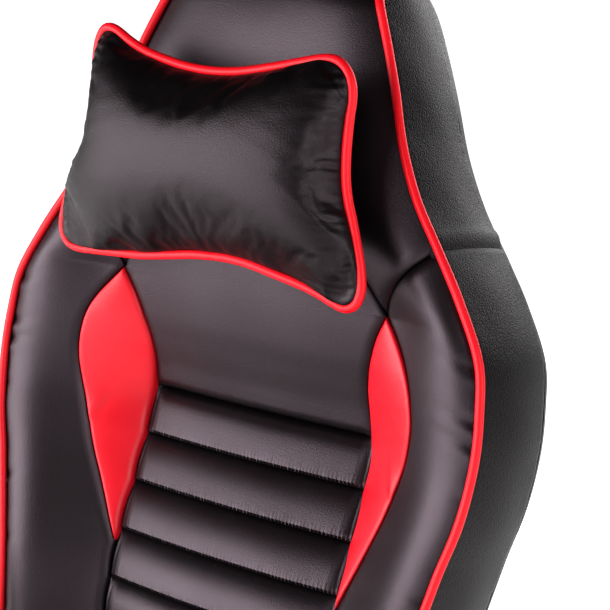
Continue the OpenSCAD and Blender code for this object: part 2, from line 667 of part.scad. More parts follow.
star_base();
hub_ring();
caster_stems();
column_tube();
column_bush();
cover_lower();
piston_rod();
thrust_bearing();
cover_middle();
gas_cylinder();
cover_upper();
mechanism_housing();
tilt_pin();
tilt_spring();
tension_knob();
height_lever();
valve_button();
mechanism_plate();
seat_board();
seat_bolts();
seat_pad();
seat_inserts();
seat_bolster(false);  // seat_bolster_left
seat_bolster(true);  // seat_bolster_right
seat_piping();
arm_bracket(false);  // arm_bracket_left
arm_bracket(true);  // arm_bracket_right
recliner_bracket(false);  // recliner_bracket_left
recliner_bracket(true);  // recliner_bracket_right
recliner_cover(false);  // recliner_cover_left
recliner_cover(true);  // recliner_cover_right
recliner_pins();
recline_lever();
back_frame();
back_webbing();
recliner_arms();
back_pad();
back_inserts();
back_bolster(false);  // back_bolster_left
back_bolster(true);  // back_bolster_right
head_pad();
back_cover();
back_piping();
head_pillow();
arm_post(false);  // arm_post_left
arm_post(true);  // arm_post_right
arm_pad(false);  // arm_pad_left
arm_pad(true);  // arm_pad_right
arm_button(false);  // arm_button_left
arm_button(true);  // arm_button_right
for (i = [1 : arm_count]) {
    at_caster(i) caster_hood();
    at_caster(i) caster_wheels();
}
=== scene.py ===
"""A racing-style gaming chair: upholstery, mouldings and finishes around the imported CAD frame."""
import json
import math

import bpy
import numpy as np
from mathutils import Matrix, Vector


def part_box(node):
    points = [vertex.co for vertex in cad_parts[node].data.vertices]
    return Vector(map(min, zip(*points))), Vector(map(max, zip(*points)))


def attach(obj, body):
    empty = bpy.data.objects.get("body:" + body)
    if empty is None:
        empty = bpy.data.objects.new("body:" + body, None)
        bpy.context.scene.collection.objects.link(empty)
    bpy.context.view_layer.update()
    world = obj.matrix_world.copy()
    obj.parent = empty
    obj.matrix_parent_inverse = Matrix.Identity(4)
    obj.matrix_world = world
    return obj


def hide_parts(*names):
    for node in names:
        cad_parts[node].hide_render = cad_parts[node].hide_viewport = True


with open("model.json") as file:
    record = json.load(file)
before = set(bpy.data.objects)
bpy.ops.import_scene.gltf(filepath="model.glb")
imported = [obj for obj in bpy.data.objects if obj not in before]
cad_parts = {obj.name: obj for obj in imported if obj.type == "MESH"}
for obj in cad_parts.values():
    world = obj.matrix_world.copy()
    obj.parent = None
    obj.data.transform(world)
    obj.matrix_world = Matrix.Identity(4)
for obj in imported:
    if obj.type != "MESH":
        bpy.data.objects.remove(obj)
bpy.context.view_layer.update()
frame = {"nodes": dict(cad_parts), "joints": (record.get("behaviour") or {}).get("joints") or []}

JOINTS = {j["name"]: j for j in frame["joints"]}
NODES = frame["nodes"]
MM = 0.001

# ---- materials


def new_material(name):
    mat = bpy.data.materials.new(name)
    mat.use_nodes = True
    nodes, links = mat.node_tree.nodes, mat.node_tree.links
    return mat, nodes, links, nodes["Principled BSDF"]


def give(node, **values):
    """Sets a node's inputs, with _ for the space in a name."""
    for name, value in values.items():
        node.inputs[name.replace("_", " ")].default_value = value
    return node


def object_space(nodes, links, scale=(1, 1, 1)):
    """Coordinates in metres that stay with the piece when it moves."""
    at, scaled = nodes.new("ShaderNodeTexCoord"), give(nodes.new("ShaderNodeMapping"), Scale=scale)
    links.new(at.outputs["Object"], scaled.inputs["Vector"])
    return scaled.outputs["Vector"]


def noise(nodes, links, at, scale, detail=3.0, rough=0.55):
    n = give(nodes.new("ShaderNodeTexNoise"), Scale=scale, Detail=detail, Roughness=rough)
    links.new(at, n.inputs["Vector"])
    return n.outputs["Fac"]


def ramp(nodes, links, fac, stops):
    r = nodes.new("ShaderNodeValToRGB")
    while len(r.color_ramp.elements) < len(stops):
        r.color_ramp.elements.new(0.5)
    for e, (pos, value) in zip(r.color_ramp.elements, stops):
        e.position = pos
        e.color = (*value, 1) if isinstance(value, tuple) else (value, value, value, 1)
    links.new(fac, r.inputs["Fac"])
    return r.outputs["Color"]


def mix(nodes, links, fac, low, high):
    """A colour from low to high, each of which is a colour or another node's output."""
    m = nodes.new("ShaderNodeMix")
    m.data_type = "RGBA"
    links.new(fac, m.inputs[0])
    for socket, colour in ((m.inputs[6], low), (m.inputs[7], high)):
        if isinstance(colour, tuple):
            socket.default_value = (*colour, 1)
        else:
            links.new(colour, socket)
    return m.outputs[2]


def between(nodes, links, fac, low, high):
    """A number from low to high as fac goes from 0 to 1."""
    r = give(nodes.new("ShaderNodeMapRange"), To_Min=low, To_Max=high)
    links.new(fac, r.inputs["Value"])
    return r.outputs["Result"]


def bump(nodes, links, height, distance, strength=1.0, under=None):
    b = give(nodes.new("ShaderNodeBump"), Distance=distance, Strength=strength)
    links.new(height, b.inputs["Height"])
    if under is not None:
        links.new(under, b.inputs["Normal"])
    return b.outputs["Normal"]


def leather(name, dark, light, rough, grain, grain_depth, crease_shade, tint=(1, 1, 1), gloss=0.5):
    """Coated leather: a pebble of the given size in metres, creases between the pebbles, uneven gloss, and
    painted shade in the seam creases that the crease attribute marks.
    """
    mat, nodes, links, shader = new_material(name)
    at = object_space(nodes, links)
    cells = nodes.new("ShaderNodeTexVoronoi")
    cells.feature = "SMOOTH_F1"
    give(cells, Scale=1 / grain, Smoothness=0.35, Randomness=1.0)
    warp = nodes.new("ShaderNodeVectorMath")
    warp.operation = "MULTIPLY_ADD"
    wobble = give(nodes.new("ShaderNodeTexNoise"), Scale=0.35 / grain)
    links.new(at, wobble.inputs["Vector"])
    links.new(wobble.outputs["Color"], warp.inputs[0])
    warp.inputs[1].default_value = (grain * 1.2,) * 3
    links.new(at, warp.inputs[2])
    links.new(warp.outputs["Vector"], cells.inputs["Vector"])
    pebble = ramp(nodes, links, cells.outputs["Distance"], [(0.0, 1.0), (0.45, 0.75), (0.8, 0.0)])
    fine = noise(nodes, links, at, 2.2 / grain, 2)
    broad = noise(nodes, links, at, 9.0, 4)
    crease = nodes.new("ShaderNodeAttribute")
    crease.attribute_name = "crease"
    tone = mix(nodes, links, ramp(nodes, links, broad, [(0.3, 0.0), (0.7, 1.0)]), dark, light)
    # painted shade: near seams, where the crease attribute is high, the base colour darkens towards the last
    # colour given
    links.new(mix(nodes, links, crease.outputs["Fac"], tone, crease_shade), shader.inputs["Base Color"])
    # new leather is a little shinier where it is stretched over a seam
    stretched = nodes.new("ShaderNodeMath")
    stretched.operation = "MULTIPLY_ADD"
    stretched.inputs[1].default_value = -0.1
    links.new(crease.outputs["Fac"], stretched.inputs[0])
    links.new(between(nodes, links, broad, rough - 0.05, rough + 0.07), stretched.inputs[2])
    links.new(stretched.outputs["Value"], shader.inputs["Roughness"])
    grainy = bump(nodes, links, pebble, grain_depth)
    links.new(bump(nodes, links, fine, grain_depth * 0.35, 0.6, grainy), shader.inputs["Normal"])
    give(shader, Specular_Tint=(*tint, 1), Specular_IOR_Level=gloss)
    return mat


def plastic(name, colour, rough, grain=0.0006, depth=0.00006, metal=0.0, spread=0.06):
    """Moulded plastic, coated or plain metal, with a fine even texture and slightly uneven gloss."""
    mat, nodes, links, shader = new_material(name)
    at = object_space(nodes, links)
    broad = noise(nodes, links, at, 14.0, 4)
    scuff = noise(nodes, links, at, 160.0, 5, 0.7)
    dark, light = tuple(c * 0.82 for c in colour), tuple(min(1, c * 1.15 + 0.002) for c in colour)
    links.new(mix(nodes, links, broad, dark, light), shader.inputs["Base Color"])
    uneven = between(nodes, links, scuff, max(0.04, rough - spread), rough + spread)
    links.new(uneven, shader.inputs["Roughness"])
    spark = noise(nodes, links, at, 1 / grain, 2)
    links.new(bump(nodes, links, spark, depth), shader.inputs["Normal"])
    give(shader, Metallic=metal)
    return mat


def plywood(name):
    mat, nodes, links, shader = new_material(name)
    at = object_space(nodes, links, (1, 14, 1))
    grain = noise(nodes, links, at, 22.0, 6, 0.65)
    tones = [(0.3, (0.03, 0.018, 0.01)), (0.55, (0.06, 0.038, 0.02)), (0.8, (0.10, 0.066, 0.038))]
    links.new(ramp(nodes, links, grain, tones), shader.inputs["Base Color"])
    give(shader, Roughness=0.62)
    links.new(bump(nodes, links, grain, 0.0003), shader.inputs["Normal"])
    return mat


def woven(name, colour, pitch):
    """Black elastic webbing or lining cloth: two crossed sets of threads."""
    mat, nodes, links, shader = new_material(name)
    waves = []
    for axis in ("X", "Z"):
        w = nodes.new("ShaderNodeTexWave")
        w.bands_direction = axis
        give(w, Scale=0.314 / pitch, Distortion=0.4)
        links.new(object_space(nodes, links), w.inputs["Vector"])
        waves.append(w.outputs["Fac"])
    cross = nodes.new("ShaderNodeMath")
    cross.operation = "MULTIPLY"
    links.new(waves[0], cross.inputs[0])
    links.new(waves[1], cross.inputs[1])
    links.new(ramp(nodes, links, cross.outputs[0], [(0.0, tuple(c * 0.4 for c in colour)), (0.8, colour)]),
              shader.inputs["Base Color"])
    links.new(bump(nodes, links, cross.outputs[0], 0.0004), shader.inputs["Normal"])
    give(shader, Roughness=0.85, Sheen_Weight=0.3)
    return mat


# each leather's last colour is a painted shade for its seam creases
BLACK_LEATHER = leather("smooth_black_leather", (0.0020, 0.0013, 0.0016), (0.0042, 0.0027, 0.0034), 0.44,
                        0.0011, 0.00008, (0.002, 0.0015, 0.0018), tint=(1.0, 0.80, 0.91), gloss=0.75)
PILLOW_LEATHER = leather("pillow_black_leather", (0.0020, 0.0013, 0.0016), (0.0042, 0.0027, 0.0034), 0.43,
                         0.0012, 0.00009, (0.002, 0.0015, 0.0018), tint=(1.0, 0.84, 0.92), gloss=0.42)
GRAINED = leather("grained_black_leather", (0.0022, 0.0018, 0.0018), (0.0044, 0.0037, 0.0038), 0.40,
                  0.0014, 0.0002, (0.002, 0.002, 0.002), tint=(1.0, 0.86, 0.94), gloss=0.16)
RED_LEATHER = leather("red_leather", (0.70, 0.006, 0.021), (0.80, 0.010, 0.030), 0.38,
                      0.0010, 0.00003, (0.45, 0.003, 0.010))
RED_PIPING = leather("red_piping", (0.74, 0.005, 0.016), (0.82, 0.008, 0.024), 0.42,
                     0.0012, 0.00003, (0.55, 0.003, 0.012), gloss=0.35)
NYLON = plastic("black_nylon", (0.013, 0.013, 0.014), 0.46, 0.0007, 0.00012)
RUBBER = plastic("soft_black_rubber", (0.016, 0.016, 0.017), 0.58, 0.0008, 0.00015)
RED_PLASTIC = plastic("red_plastic", (0.62, 0.01, 0.02), 0.35, 0.0008, 0.00003)
COATED = plastic("powder_coated_steel", (0.014, 0.014, 0.015), 0.42, 0.0005, 0.00014)
STEEL = plastic("zinc_plated_steel", (0.50, 0.50, 0.49), 0.30, 0.0012, 0.00001, 1.0, 0.04)
WHEEL = plastic("black_wheel_nylon", (0.018, 0.018, 0.019), 0.38, 0.0008, 0.00006)
PLYWOOD = plywood("stained_plywood")
WEBBING = woven("black_webbing", (0.03, 0.03, 0.03), 0.0016)

# ---- meshes


def table(rows, at):
    """A smooth curve through rows of [position, value]: the same rule as the CAD source's."""
    x, y = np.array(rows, float).T
    slope = np.gradient(y, x)
    slope[1:-1] = (y[2:] - y[:-2]) / (x[2:] - x[:-2])
    at = np.clip(at, x[0], x[-1])
    i = np.clip(np.searchsorted(x, at, "right") - 1, 0, len(x) - 2)
    step = x[i + 1] - x[i]
    u = (at - x[i]) / step
    return ((2 * u**3 - 3 * u**2 + 1) * y[i] + (u**3 - 2 * u**2 + u) * step * slope[i]
            + (3 * u**2 - 2 * u**3) * y[i + 1] + (u**3 - u**2) * step * slope[i + 1])


def spread(start, end, count):
    """count steps from start to end, close together at both ends."""
    return start + (end - start) * (1 - np.cos(np.pi * np.arange(count + 1) / count)) / 2


def joined(*runs):
    """Runs of positions one after the other, without the repeated ends."""
    return np.concatenate([runs[0]] + [r[1:] for r in runs[1:]])


def resampled(line, count):
    """count points evenly along a line."""
    run = np.append(0, np.linalg.norm(np.diff(line, axis=0), axis=1).cumsum())
    at = np.linspace(0, run[-1], count)
    return np.stack([np.interp(at, run, line[:, k]) for k in range(line.shape[1])], -1)


def tuck(distance, radius, depth):
    """How far leather curls in at this distance from its seam: a quarter round."""
    e = 1 - np.clip(distance / radius, 0, 1)
    return depth * (1 - np.sqrt(1 - np.minimum(e, 0.998) ** 2))


def hill(t, width):
    return np.exp(-((t / width) ** 2))


def ripple(a, b, length, seed, waves=6):
    """Smooth unevenness about zero over two coordinates, from a few waves with fixed directions."""
    random = np.random.default_rng(seed)
    total = 0
    for _ in range(waves):
        angle, phase = random.uniform(0, 2 * np.pi, 2)
        k = 2 * np.pi / (length * random.uniform(0.6, 1.6))
        total = total + np.sin(k * (a * np.cos(angle) + b * np.sin(angle)) + phase)
    return total / waves


def grid_faces(index):
    """Quads over a grid of vertex numbers, facing forward where rows go up and columns go along +X."""
    corners = [index[:-1, :-1], index[:-1, 1:], index[1:, 1:], index[1:, :-1]]
    return np.stack(corners, -1).reshape(-1, 4).tolist()


def block(front, left, right):
    """A closed cushion: a grid for its show side, and the inner ends of its left and right walls."""
    n, m = front.shape[:2]
    index = np.arange(n * m).reshape(n, m)
    a, b = n * m + np.arange(n), n * m + n + np.arange(n)
    faces = grid_faces(index)
    for p, q in ((index[:, 0], a), (b, index[:, -1]), (a, b)):
        faces += np.stack([p[:-1], p[1:], q[1:], q[:-1]], -1).tolist()
    faces.append([*index[0, ::-1], a[0], b[0]])
    faces.append([*index[-1], b[-1], a[-1]])
    return np.concatenate([front.reshape(-1, 3), left, right]), faces


def tube(path, radius, sides=16, across=(0, 1, 0), closed=False):
    """A round cord along a path, where radius may vary from point to point."""
    path = np.array(path, float)
    n = len(path)
    if closed:
        run = np.roll(path, -1, 0) - np.roll(path, 1, 0)
    else:
        run = np.gradient(path, axis=0)
    run /= np.linalg.norm(run, axis=1)[:, None]
    u = np.cross(run, np.array(across, float))
    u /= np.linalg.norm(u, axis=1)[:, None]
    w = np.cross(run, u)
    turn = 2 * np.pi * np.arange(sides) / sides
    r = np.broadcast_to(radius, n)[:, None, None]
    c, s = np.cos(turn)[None, :, None], np.sin(turn)[None, :, None]
    rings = path[:, None] + r * (c * u[:, None] + s * w[:, None])
    index = np.arange(n * sides).reshape(n, sides)
    index = np.concatenate([index, index[:, :1]], 1)
    if closed:
        index = np.concatenate([index, index[:1]], 0)
    faces = grid_faces(index)
    if not closed:
        faces += [list(range(sides))[::-1], list(range((n - 1) * sides, n * sides))]
    return rings.reshape(-1, 3), faces


def added(name, data):
    """A new object in the scene."""
    made = bpy.data.objects.new(name, data)
    bpy.context.scene.collection.objects.link(made)
    return made


def piece(name, shape, body, material, replaces=(), sharp=38, tags=None):
    """Adds a mesh in world metres, smooth-shaded except at sharp edges, and ties it to the frame."""
    verts, faces = shape
    mesh = bpy.data.meshes.new(name)
    mesh.from_pydata(np.asarray(verts, float).tolist(), [], faces)
    mesh.materials.append(material)
    if tags is not None:
        # how near each vertex is to a seam; the leather materials darken the base colour there as painted
        # shade
        layer = mesh.attributes.new("crease", "FLOAT", "POINT")
        full = np.zeros(len(mesh.vertices), np.float32)
        full[: tags.size] = tags.ravel()
        layer.data.foreach_set("value", full)
    mesh.validate()
    mesh.shade_smooth()
    mesh.set_sharp_from_angle(angle=math.radians(sharp))
    made = added(name, mesh)
    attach(made, body)
    if replaces:
        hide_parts(*replaces)
    return made


def places(mesh):
    """Every vertex of a mesh, one to a row."""
    at = np.zeros(len(mesh.vertices) * 3)
    mesh.vertices.foreach_get("co", at)
    return at.reshape(-1, 3)


def place(made, at):
    """Moves every vertex of a piece."""
    made.data.vertices.foreach_set("co", at.ravel())
    made.data.update()


def merged(*shapes):
    """Several meshes as one."""
    verts, faces, count = [], [], 0
    for v, f in shapes:
        verts.append(np.asarray(v, float))
        faces += [[count + k for k in face] for face in f]
        count += len(v)
    return np.concatenate(verts), faces


def mirrored(front):
    """The same grid on the other side of the middle plane, still facing forward."""
    return front[:, ::-1] * np.array([-1, 1, 1])


# ---- backrest shape
# Its own frame is upright, in millimetres: x across, y rearwards, v up from the recline pivot.

PIVOT = np.array(JOINTS["recline"]["pos_m"])
UP = np.array(JOINTS["pillow_slide"]["axis"], float)
UP /= np.linalg.norm(UP)
REAR = np.array([0, UP[2], -UP[1]])
# the pitch of the sewn cross channels, and the heights of the uppermost one's seam, the crescents' upper
# tips and the seam across the shoulders
CHANNEL = 47.2
SEAM_1 = 436.5
TIP = 550
SHOULDER = 613
BACK_BOTTOM = 54
BACK_TOP = 850
TONGUE_TOP = 700
# half the width of the flat between the crescents or bolsters
CORE = 122

# each is rows of [height, value]: half the width at the piping; the front's depth at the middle and at the
# piping; the layer behind the cushions; how far the sides flare; how far the bolsters stand proud; half the
# middle panel's width below and above the tips; and the crescents' outer edge
EDGE = [[40, 217], [150, 217], [250, 221], [350, 239], [400, 251], [450, 256], [490, 254], [530, 247],
        [575, 223], [613, 198], [650, 173], [690, 154], [740, 137], [785, 119], [820, 102], [840, 84],
        [850, 60]]
FRONT = [[40, -58], [120, -70], [230, -80], [300, -72], [350, -60], [392, -51], [425, -47], [458, -55],
         [483, -66], [510, -79], [550, -94], [600, -108], [650, -115], [740, -119], [800, -119], [835, -108],
         [850, -88]]
RIM = [[40, -62], [90, -90], [160, -112], [260, -122], [440, -118], [800, -118], [850, -86]]
LAYER = [[40, 0], [560, 0], [640, -9], [720, -21], [850, -26]]
FLARE = [[40, 3], [150, 10], [560, 12], [650, 14], [850, 12]]
BULGE = [[40, 4], [120, 14], [200, 18], [540, 18], [600, 13], [660, 8], [760, 6], [850, 4]]
PANEL_LOW = [[40, 125.5], [400, 125], [440, 123.5], [465, 121.5], [485, 122], [510, 127.5], [530, 134.5],
             [550, 145]]
PANEL_HIGH = [[550, 145], [585, 124], [620, 108], [660, 93], [700, 80], [850, 45]]
INSERT = [[284, 127], [314, 139.5], [347, 153], [374, 164], [399, 172], [416, 177], [436, 182], [462, 185],
          [484, 182.5], [502, 177.5], [520, 168.5], [538, 155.5], [550, 145]]


def edge_w(v):
    return table(EDGE, v)


def rim_y(v):
    return table(RIM, v)


def rear_y(v):
    return table(LAYER, v) - 13


def panel_w(v):
    """Half the width of the middle panel, with a corner where the crescent's upper tip is."""
    scallop = np.where(v < SEAM_1, 1.6 * np.abs(np.sin(np.pi * (v - SEAM_1) / CHANNEL)), 0)
    return np.where(v < TIP, table(PANEL_LOW, v) + scallop, table(PANEL_HIGH, v))


def seam_w(v):
    """Where the bolster begins: the crescent's outer edge, or the middle panel's."""
    return np.where((v > INSERT[0][0]) & (v < TIP), np.maximum(table(INSERT, v), panel_w(v)), panel_w(v))


def front_y(x, v):
    """The upholstered front before it is divided into panels."""
    w, core = edge_w(v), np.where(v < TIP, CORE, table(PANEL_HIGH, v))
    core = np.where((v > 480) & (v < TIP), table([[480, CORE], [510, 128], [550, 145]], v), core)
    s = np.clip((np.abs(x) - core) / (w - core), 0, 1)
    flat, rim = table(FRONT, v), rim_y(v)
    crown = 6.5 * (1 - np.clip(np.abs(x) / core, 0, 1) ** 2)
    torso = flat - crown + (rim - flat) * s - table(BULGE, v) * np.sin(np.pi * s**1.94)
    q = np.clip(np.abs(x) / w, 0, 1)
    head = rim + (flat - 6.5 - rim) * (1 - q**2) - table(BULGE, v) * np.sin(np.pi * q**1.94)
    k = np.clip((v - 545) / 95, 0, 1)
    k = k * k * (3 - 2 * k)
    return torso + (head - torso) * k


def crest(x, v):
    """The head's top edge rises a little towards the middle."""
    return v + 5 * np.clip((v - 790) / 60, 0, 1) ** 2 * np.clip(1 - (x / 62) ** 2, 0, 1)


def placed(x, y, v):
    """Backrest millimetres to world metres."""
    x, y, v = np.broadcast_arrays(x, y, v)
    return (PIVOT + MM * (x[..., None] * np.array([1, 0, 0]) + y[..., None] * REAR + v[..., None] * UP))


def cushion(x, y, v, inner):
    """A closed block from a grid in backrest millimetres, with walls back to y = inner."""
    inner = np.broadcast_to(inner, x[:, 0].shape)
    return block(placed(x, y, v), placed(x[:, 0], inner, v[:, 0]), placed(x[:, -1], inner, v[:, -1]))


def middle_panel():
    """The middle of the backrest: a smooth upper panel over sewn cross channels."""
    seams = np.arange(SEAM_1, BACK_BOTTOM + 10, -CHANNEL)[::-1]
    runs = [spread(BACK_BOTTOM, seams[0], 8)] + [spread(a, b, 14) for a, b in zip(seams[:-1], seams[1:])]
    v = joined(*runs, spread(SEAM_1, TIP, 44), spread(TIP, TONGUE_TOP, 44))[:, None]
    s = np.linspace(-1, 1, 421)[None, :]
    x = s * (panel_w(v) - 0.4)
    u = ((v - SEAM_1) / CHANNEL) % 1
    to_seam = np.where(v < SEAM_1, CHANNEL * np.minimum(u, 1 - u), v - SEAM_1)
    to_side = (1 - np.abs(s)) * panel_w(v)
    stitch = 0.5 + 0.5 * np.cos(2 * np.pi * x / 3.8 + 2 * ripple(x, v * 0, 60, 5))
    low = np.clip(u / (0.08 + 0.06 * stitch), 0, 1)
    high = np.clip((u - 0.34) / 0.66, 0, 1)
    full = np.sqrt(1 - (1 - low) ** 2) * np.sqrt(1 - high**2.2) * (1 - 0.12 * u)
    sag = 0.6 * ripple(x, v, 70, 3) * np.minimum(1, to_seam / 10)
    ribs = 16 - 18.5 * full * (1 - 0.08 * (x / CORE) ** 2)
    above = tuck(v - SEAM_1, 9, 19) + 3 * (1 - np.clip((v - SEAM_1) / 50, 0, 1)) ** 2
    near = np.clip((SEAM_1 - v) / 15, 0, 1)
    profile = np.where(v < SEAM_1, ribs + 6 * (1 - near) ** 2, above)
    level = 3 * (1 - np.clip((v - SEAM_1) / 40, 0, 1))
    y = front_y(x, v) + level + (profile - level) * np.clip(to_side / 13, 0, 1) ** 0.6
    gather = ripple(x, v * 0.15, 11, 7, 5)
    over_seam = np.where(v < SEAM_1 + 20, CHANNEL * u, 99)
    at_seam = np.where(v < SEAM_1, np.exp(-over_seam / 2) + 0.6 * hill(to_seam, 2), 0)
    puckered = np.where(v < SEAM_1 + 10, np.exp(-to_seam / 5), 0)
    y = y + 0.5 * at_seam * stitch + 0.8 * gather * puckered - sag
    y = y + tuck(to_side, 10, 4.5) + tuck(v - BACK_BOTTOM, 12, 9) + tuck(TONGUE_TOP - v, 6, 4)
    crease = np.maximum(np.exp(-to_side / 5), np.where(v < SEAM_1 + 20, np.exp(-to_seam / 4), 0))
    inner = np.where(v[:, 0] < TIP, rear_y(v[:, 0]) - 1, table(FRONT, v[:, 0]) + 9)
    inner = np.minimum(inner, rear_y(v[:, 0]) - 1)
    top = v + np.where(v > TIP, 5 * (1 - s**2) * np.clip((v - 660) / 40, 0, 1), 0 * s)
    piece("back_middle_panel", cushion(x, y, top, inner), "backrest", BLACK_LEATHER, ("back_pad",),
          tags=crease)


def crescents():
    """The two red inserts, each with a fold in its lower half."""
    v = joined(spread(INSERT[0][0], 400, 60), spread(400, TIP, 70))[:, None]
    s = spread(0, 1, 26)[None, :]
    a, b = panel_w(v) + 0.3, seam_w(v) - 0.2
    b = np.maximum(b, a + 0.5)
    x = a + (b - a) * s
    width = b - a
    to_side = np.minimum(s, 1 - s) * width
    puff = np.minimum(width * 0.10, 5) * (1 - (2 * s - 1) ** 2)
    beside, along = (x - 163) * 0.93 + (v - 412) * 0.37, (x - 163) * 0.37 - (v - 412) * 0.93
    fold = -1.5 * np.tanh(beside / 1.6) * hill(beside, 9) * hill(along, 15)
    folds = fold + 0.8 * hill(v - 446 - 0.3 * x + 45, 5) * hill(x - 150, 16)
    y = front_y(x, v) - puff + folds + 0.35 * ripple(x, v, 40, 21) + tuck(to_side, 4, 3.2)
    both = [cushion(*front, rear_y(v[:, 0]) - 1)
            for front in ((x, y, v + 0 * x), (-x[:, ::-1], y[:, ::-1], v + 0 * x))]
    piece("back_red_inserts", merged(*both), "backrest", RED_LEATHER, ("back_inserts",))


def shoulder_seam(q):
    """Height of the seam between bolster and head, from the crescent's tip (q = 0) to the piping (q = 1)."""
    return TIP + (SHOULDER - TIP) * q**0.8


# folds beside the piping: height, depth and half width; a negative one stands proud
BOLSTER_FOLDS = [(524, 2.6, 4), (515, -1.2, 4), (481, 3.2, 3.5), (473, -1.6, 3), (462, 3.2, 3),
                 (453, -1.4, 4), (418, 1.0, 4), (330, 1.6, 4), (270, 1.4, 4), (205, 1.6, 5), (140, 1.4, 4)]


def bolster(side):
    """A side bolster, from the middle panel or the crescent out to the piping."""
    t = joined(spread(0, 0.5, 90), spread(0.5, 1, 150))[:, None]
    q = spread(0, 1, 72)[None, :]
    v = BACK_BOTTOM + t * (shoulder_seam(q) - BACK_BOTTOM)
    a, b = seam_w(v) + 0.4, edge_w(v) + 0.3
    x = a + (b - a) * q
    to_piping, to_seam, to_top = (1 - q) * (b - a), q * (b - a), (1 - t) * (shoulder_seam(q) - BACK_BOTTOM)
    y = front_y(x, v)
    for at, size, wide in BOLSTER_FOLDS:
        lean = at + 0.25 * to_piping * (1 if size > 0 else 0.6)
        y = y + size * hill(v - lean, wide) * np.exp(-to_piping / 11) * np.clip(to_piping / 3, 0, 1)
    y = y + 0.9 * ripple(x, v, 95, 31 + side) + 0.35 * ripple(x, v, 28, 37) * np.exp(-to_piping / 22)
    y = y + 0.7 * ripple(x * 0.2, v, 9, 41) * np.exp(-to_piping / 5)
    y = y + tuck(to_seam, 7, 5) + tuck(to_piping, 5, 2.6)
    y = y + tuck(to_top, 10, 6.5) + tuck(v - BACK_BOTTOM, 14, 10)
    crease = np.maximum.reduce([np.exp(-to_seam / 2), np.exp(-to_piping / 2), np.exp(-to_top / 3)])
    if side < 0:
        x, y, v, crease = -x[:, ::-1], y[:, ::-1], v[:, ::-1], crease[:, ::-1]
    label = "left" if side > 0 else "right"
    piece(f"back_{label}_bolster", cushion(x, y, v, rear_y(v[:, 0]) - 1), "backrest", BLACK_LEATHER,
          (f"back_bolster_{label}",), tags=crease)


def head_panel():
    """Shoulders and head in one piece, with a sunk bed where the middle panel's tongue lies on it."""
    q = np.concatenate([-spread(0, 1, 60)[::-1], spread(0, 1, 60)[1:]])[None, :]
    t = joined(spread(0, 0.5, 90), spread(0.5, 1, 60))[:, None]
    guide = 0.42
    out = np.clip((np.abs(q) - guide) / (1 - guide), 0, 1)
    low = np.where(np.abs(q) < guide, TIP + 4, shoulder_seam(out) + 0.8)
    v = low + t * (BACK_TOP - low)
    inside = table(PANEL_HIGH, v)
    w = edge_w(v) + 0.3
    x = np.sign(q) * np.where(np.abs(q) < guide, inside * np.abs(q) / guide, inside + (w - inside) * out)
    top = TONGUE_TOP + 5 * (1 - (x / 80) ** 2)
    into = np.minimum(inside - np.abs(x), top - v)
    away = np.hypot(np.maximum(np.abs(x) - inside, 0), np.maximum(v - top, 0))
    to_piping, to_low = (w - np.abs(x)), t * (BACK_TOP - low)
    bed = 14 * np.clip(into / 9, 0, 1) ** 2 * (3 - 2 * np.clip(into / 9, 0, 1))
    y = front_y(x, v) + bed + np.where(into < 0, tuck(away, 8, 5), 5)
    y = y + tuck(to_piping, 5, 2.6) + np.where(np.abs(q) > guide, tuck(to_low, 12, 7), 0)
    y = y + 0.9 * ripple(x, v, 90, 51)
    crease = np.exp(-np.minimum(np.where(into < 0, away, into), to_piping) / 2.5)
    piece("head_panel", cushion(x, y, crest(x, v), rear_y(v[:, 0]) - 1), "backrest", BLACK_LEATHER,
          ("head_pad",), tags=crease)


def outline(start=BACK_BOTTOM, step=2.5):
    """The piped edge as a line in x and v: up the left side, over the head, and down the right side."""
    v = np.arange(start, BACK_TOP, 1.0)
    left = np.stack([edge_w(v), v], -1)
    x = np.linspace(60, -60, 60)
    top = np.stack([x, crest(x, np.full_like(x, BACK_TOP))], -1)
    line = np.concatenate([left, top[1:-1], left[::-1] * [-1, 1]])
    for _ in range(6):
        line[1:-1] = (line[:-2] + 2 * line[1:-1] + line[2:]) / 4
    length = np.linalg.norm(np.diff(line, axis=0), axis=1).cumsum()[-1]
    line = resampled(line, int(length / step))
    along = np.gradient(line, axis=0)
    along /= np.linalg.norm(along, axis=1)[:, None]
    return line, np.stack([along[:, 1], -along[:, 0]], -1)


def back_piping():
    """The piping cord, which starts just above the seat's reach."""
    line, out = outline(61)
    r = 3.9 * (1 + 0.03 * ripple(line[:, 1], line[:, 0], 60, 61))
    p = line + out * 1.8
    y = rim_y(np.minimum(line[:, 1], BACK_TOP)) - 2.6
    path = placed(p[:, 0], y, p[:, 1])
    piece("back_piping_cord", tube(path, r * MM, 16, REAR), "backrest", RED_PIPING, ("back_piping",))


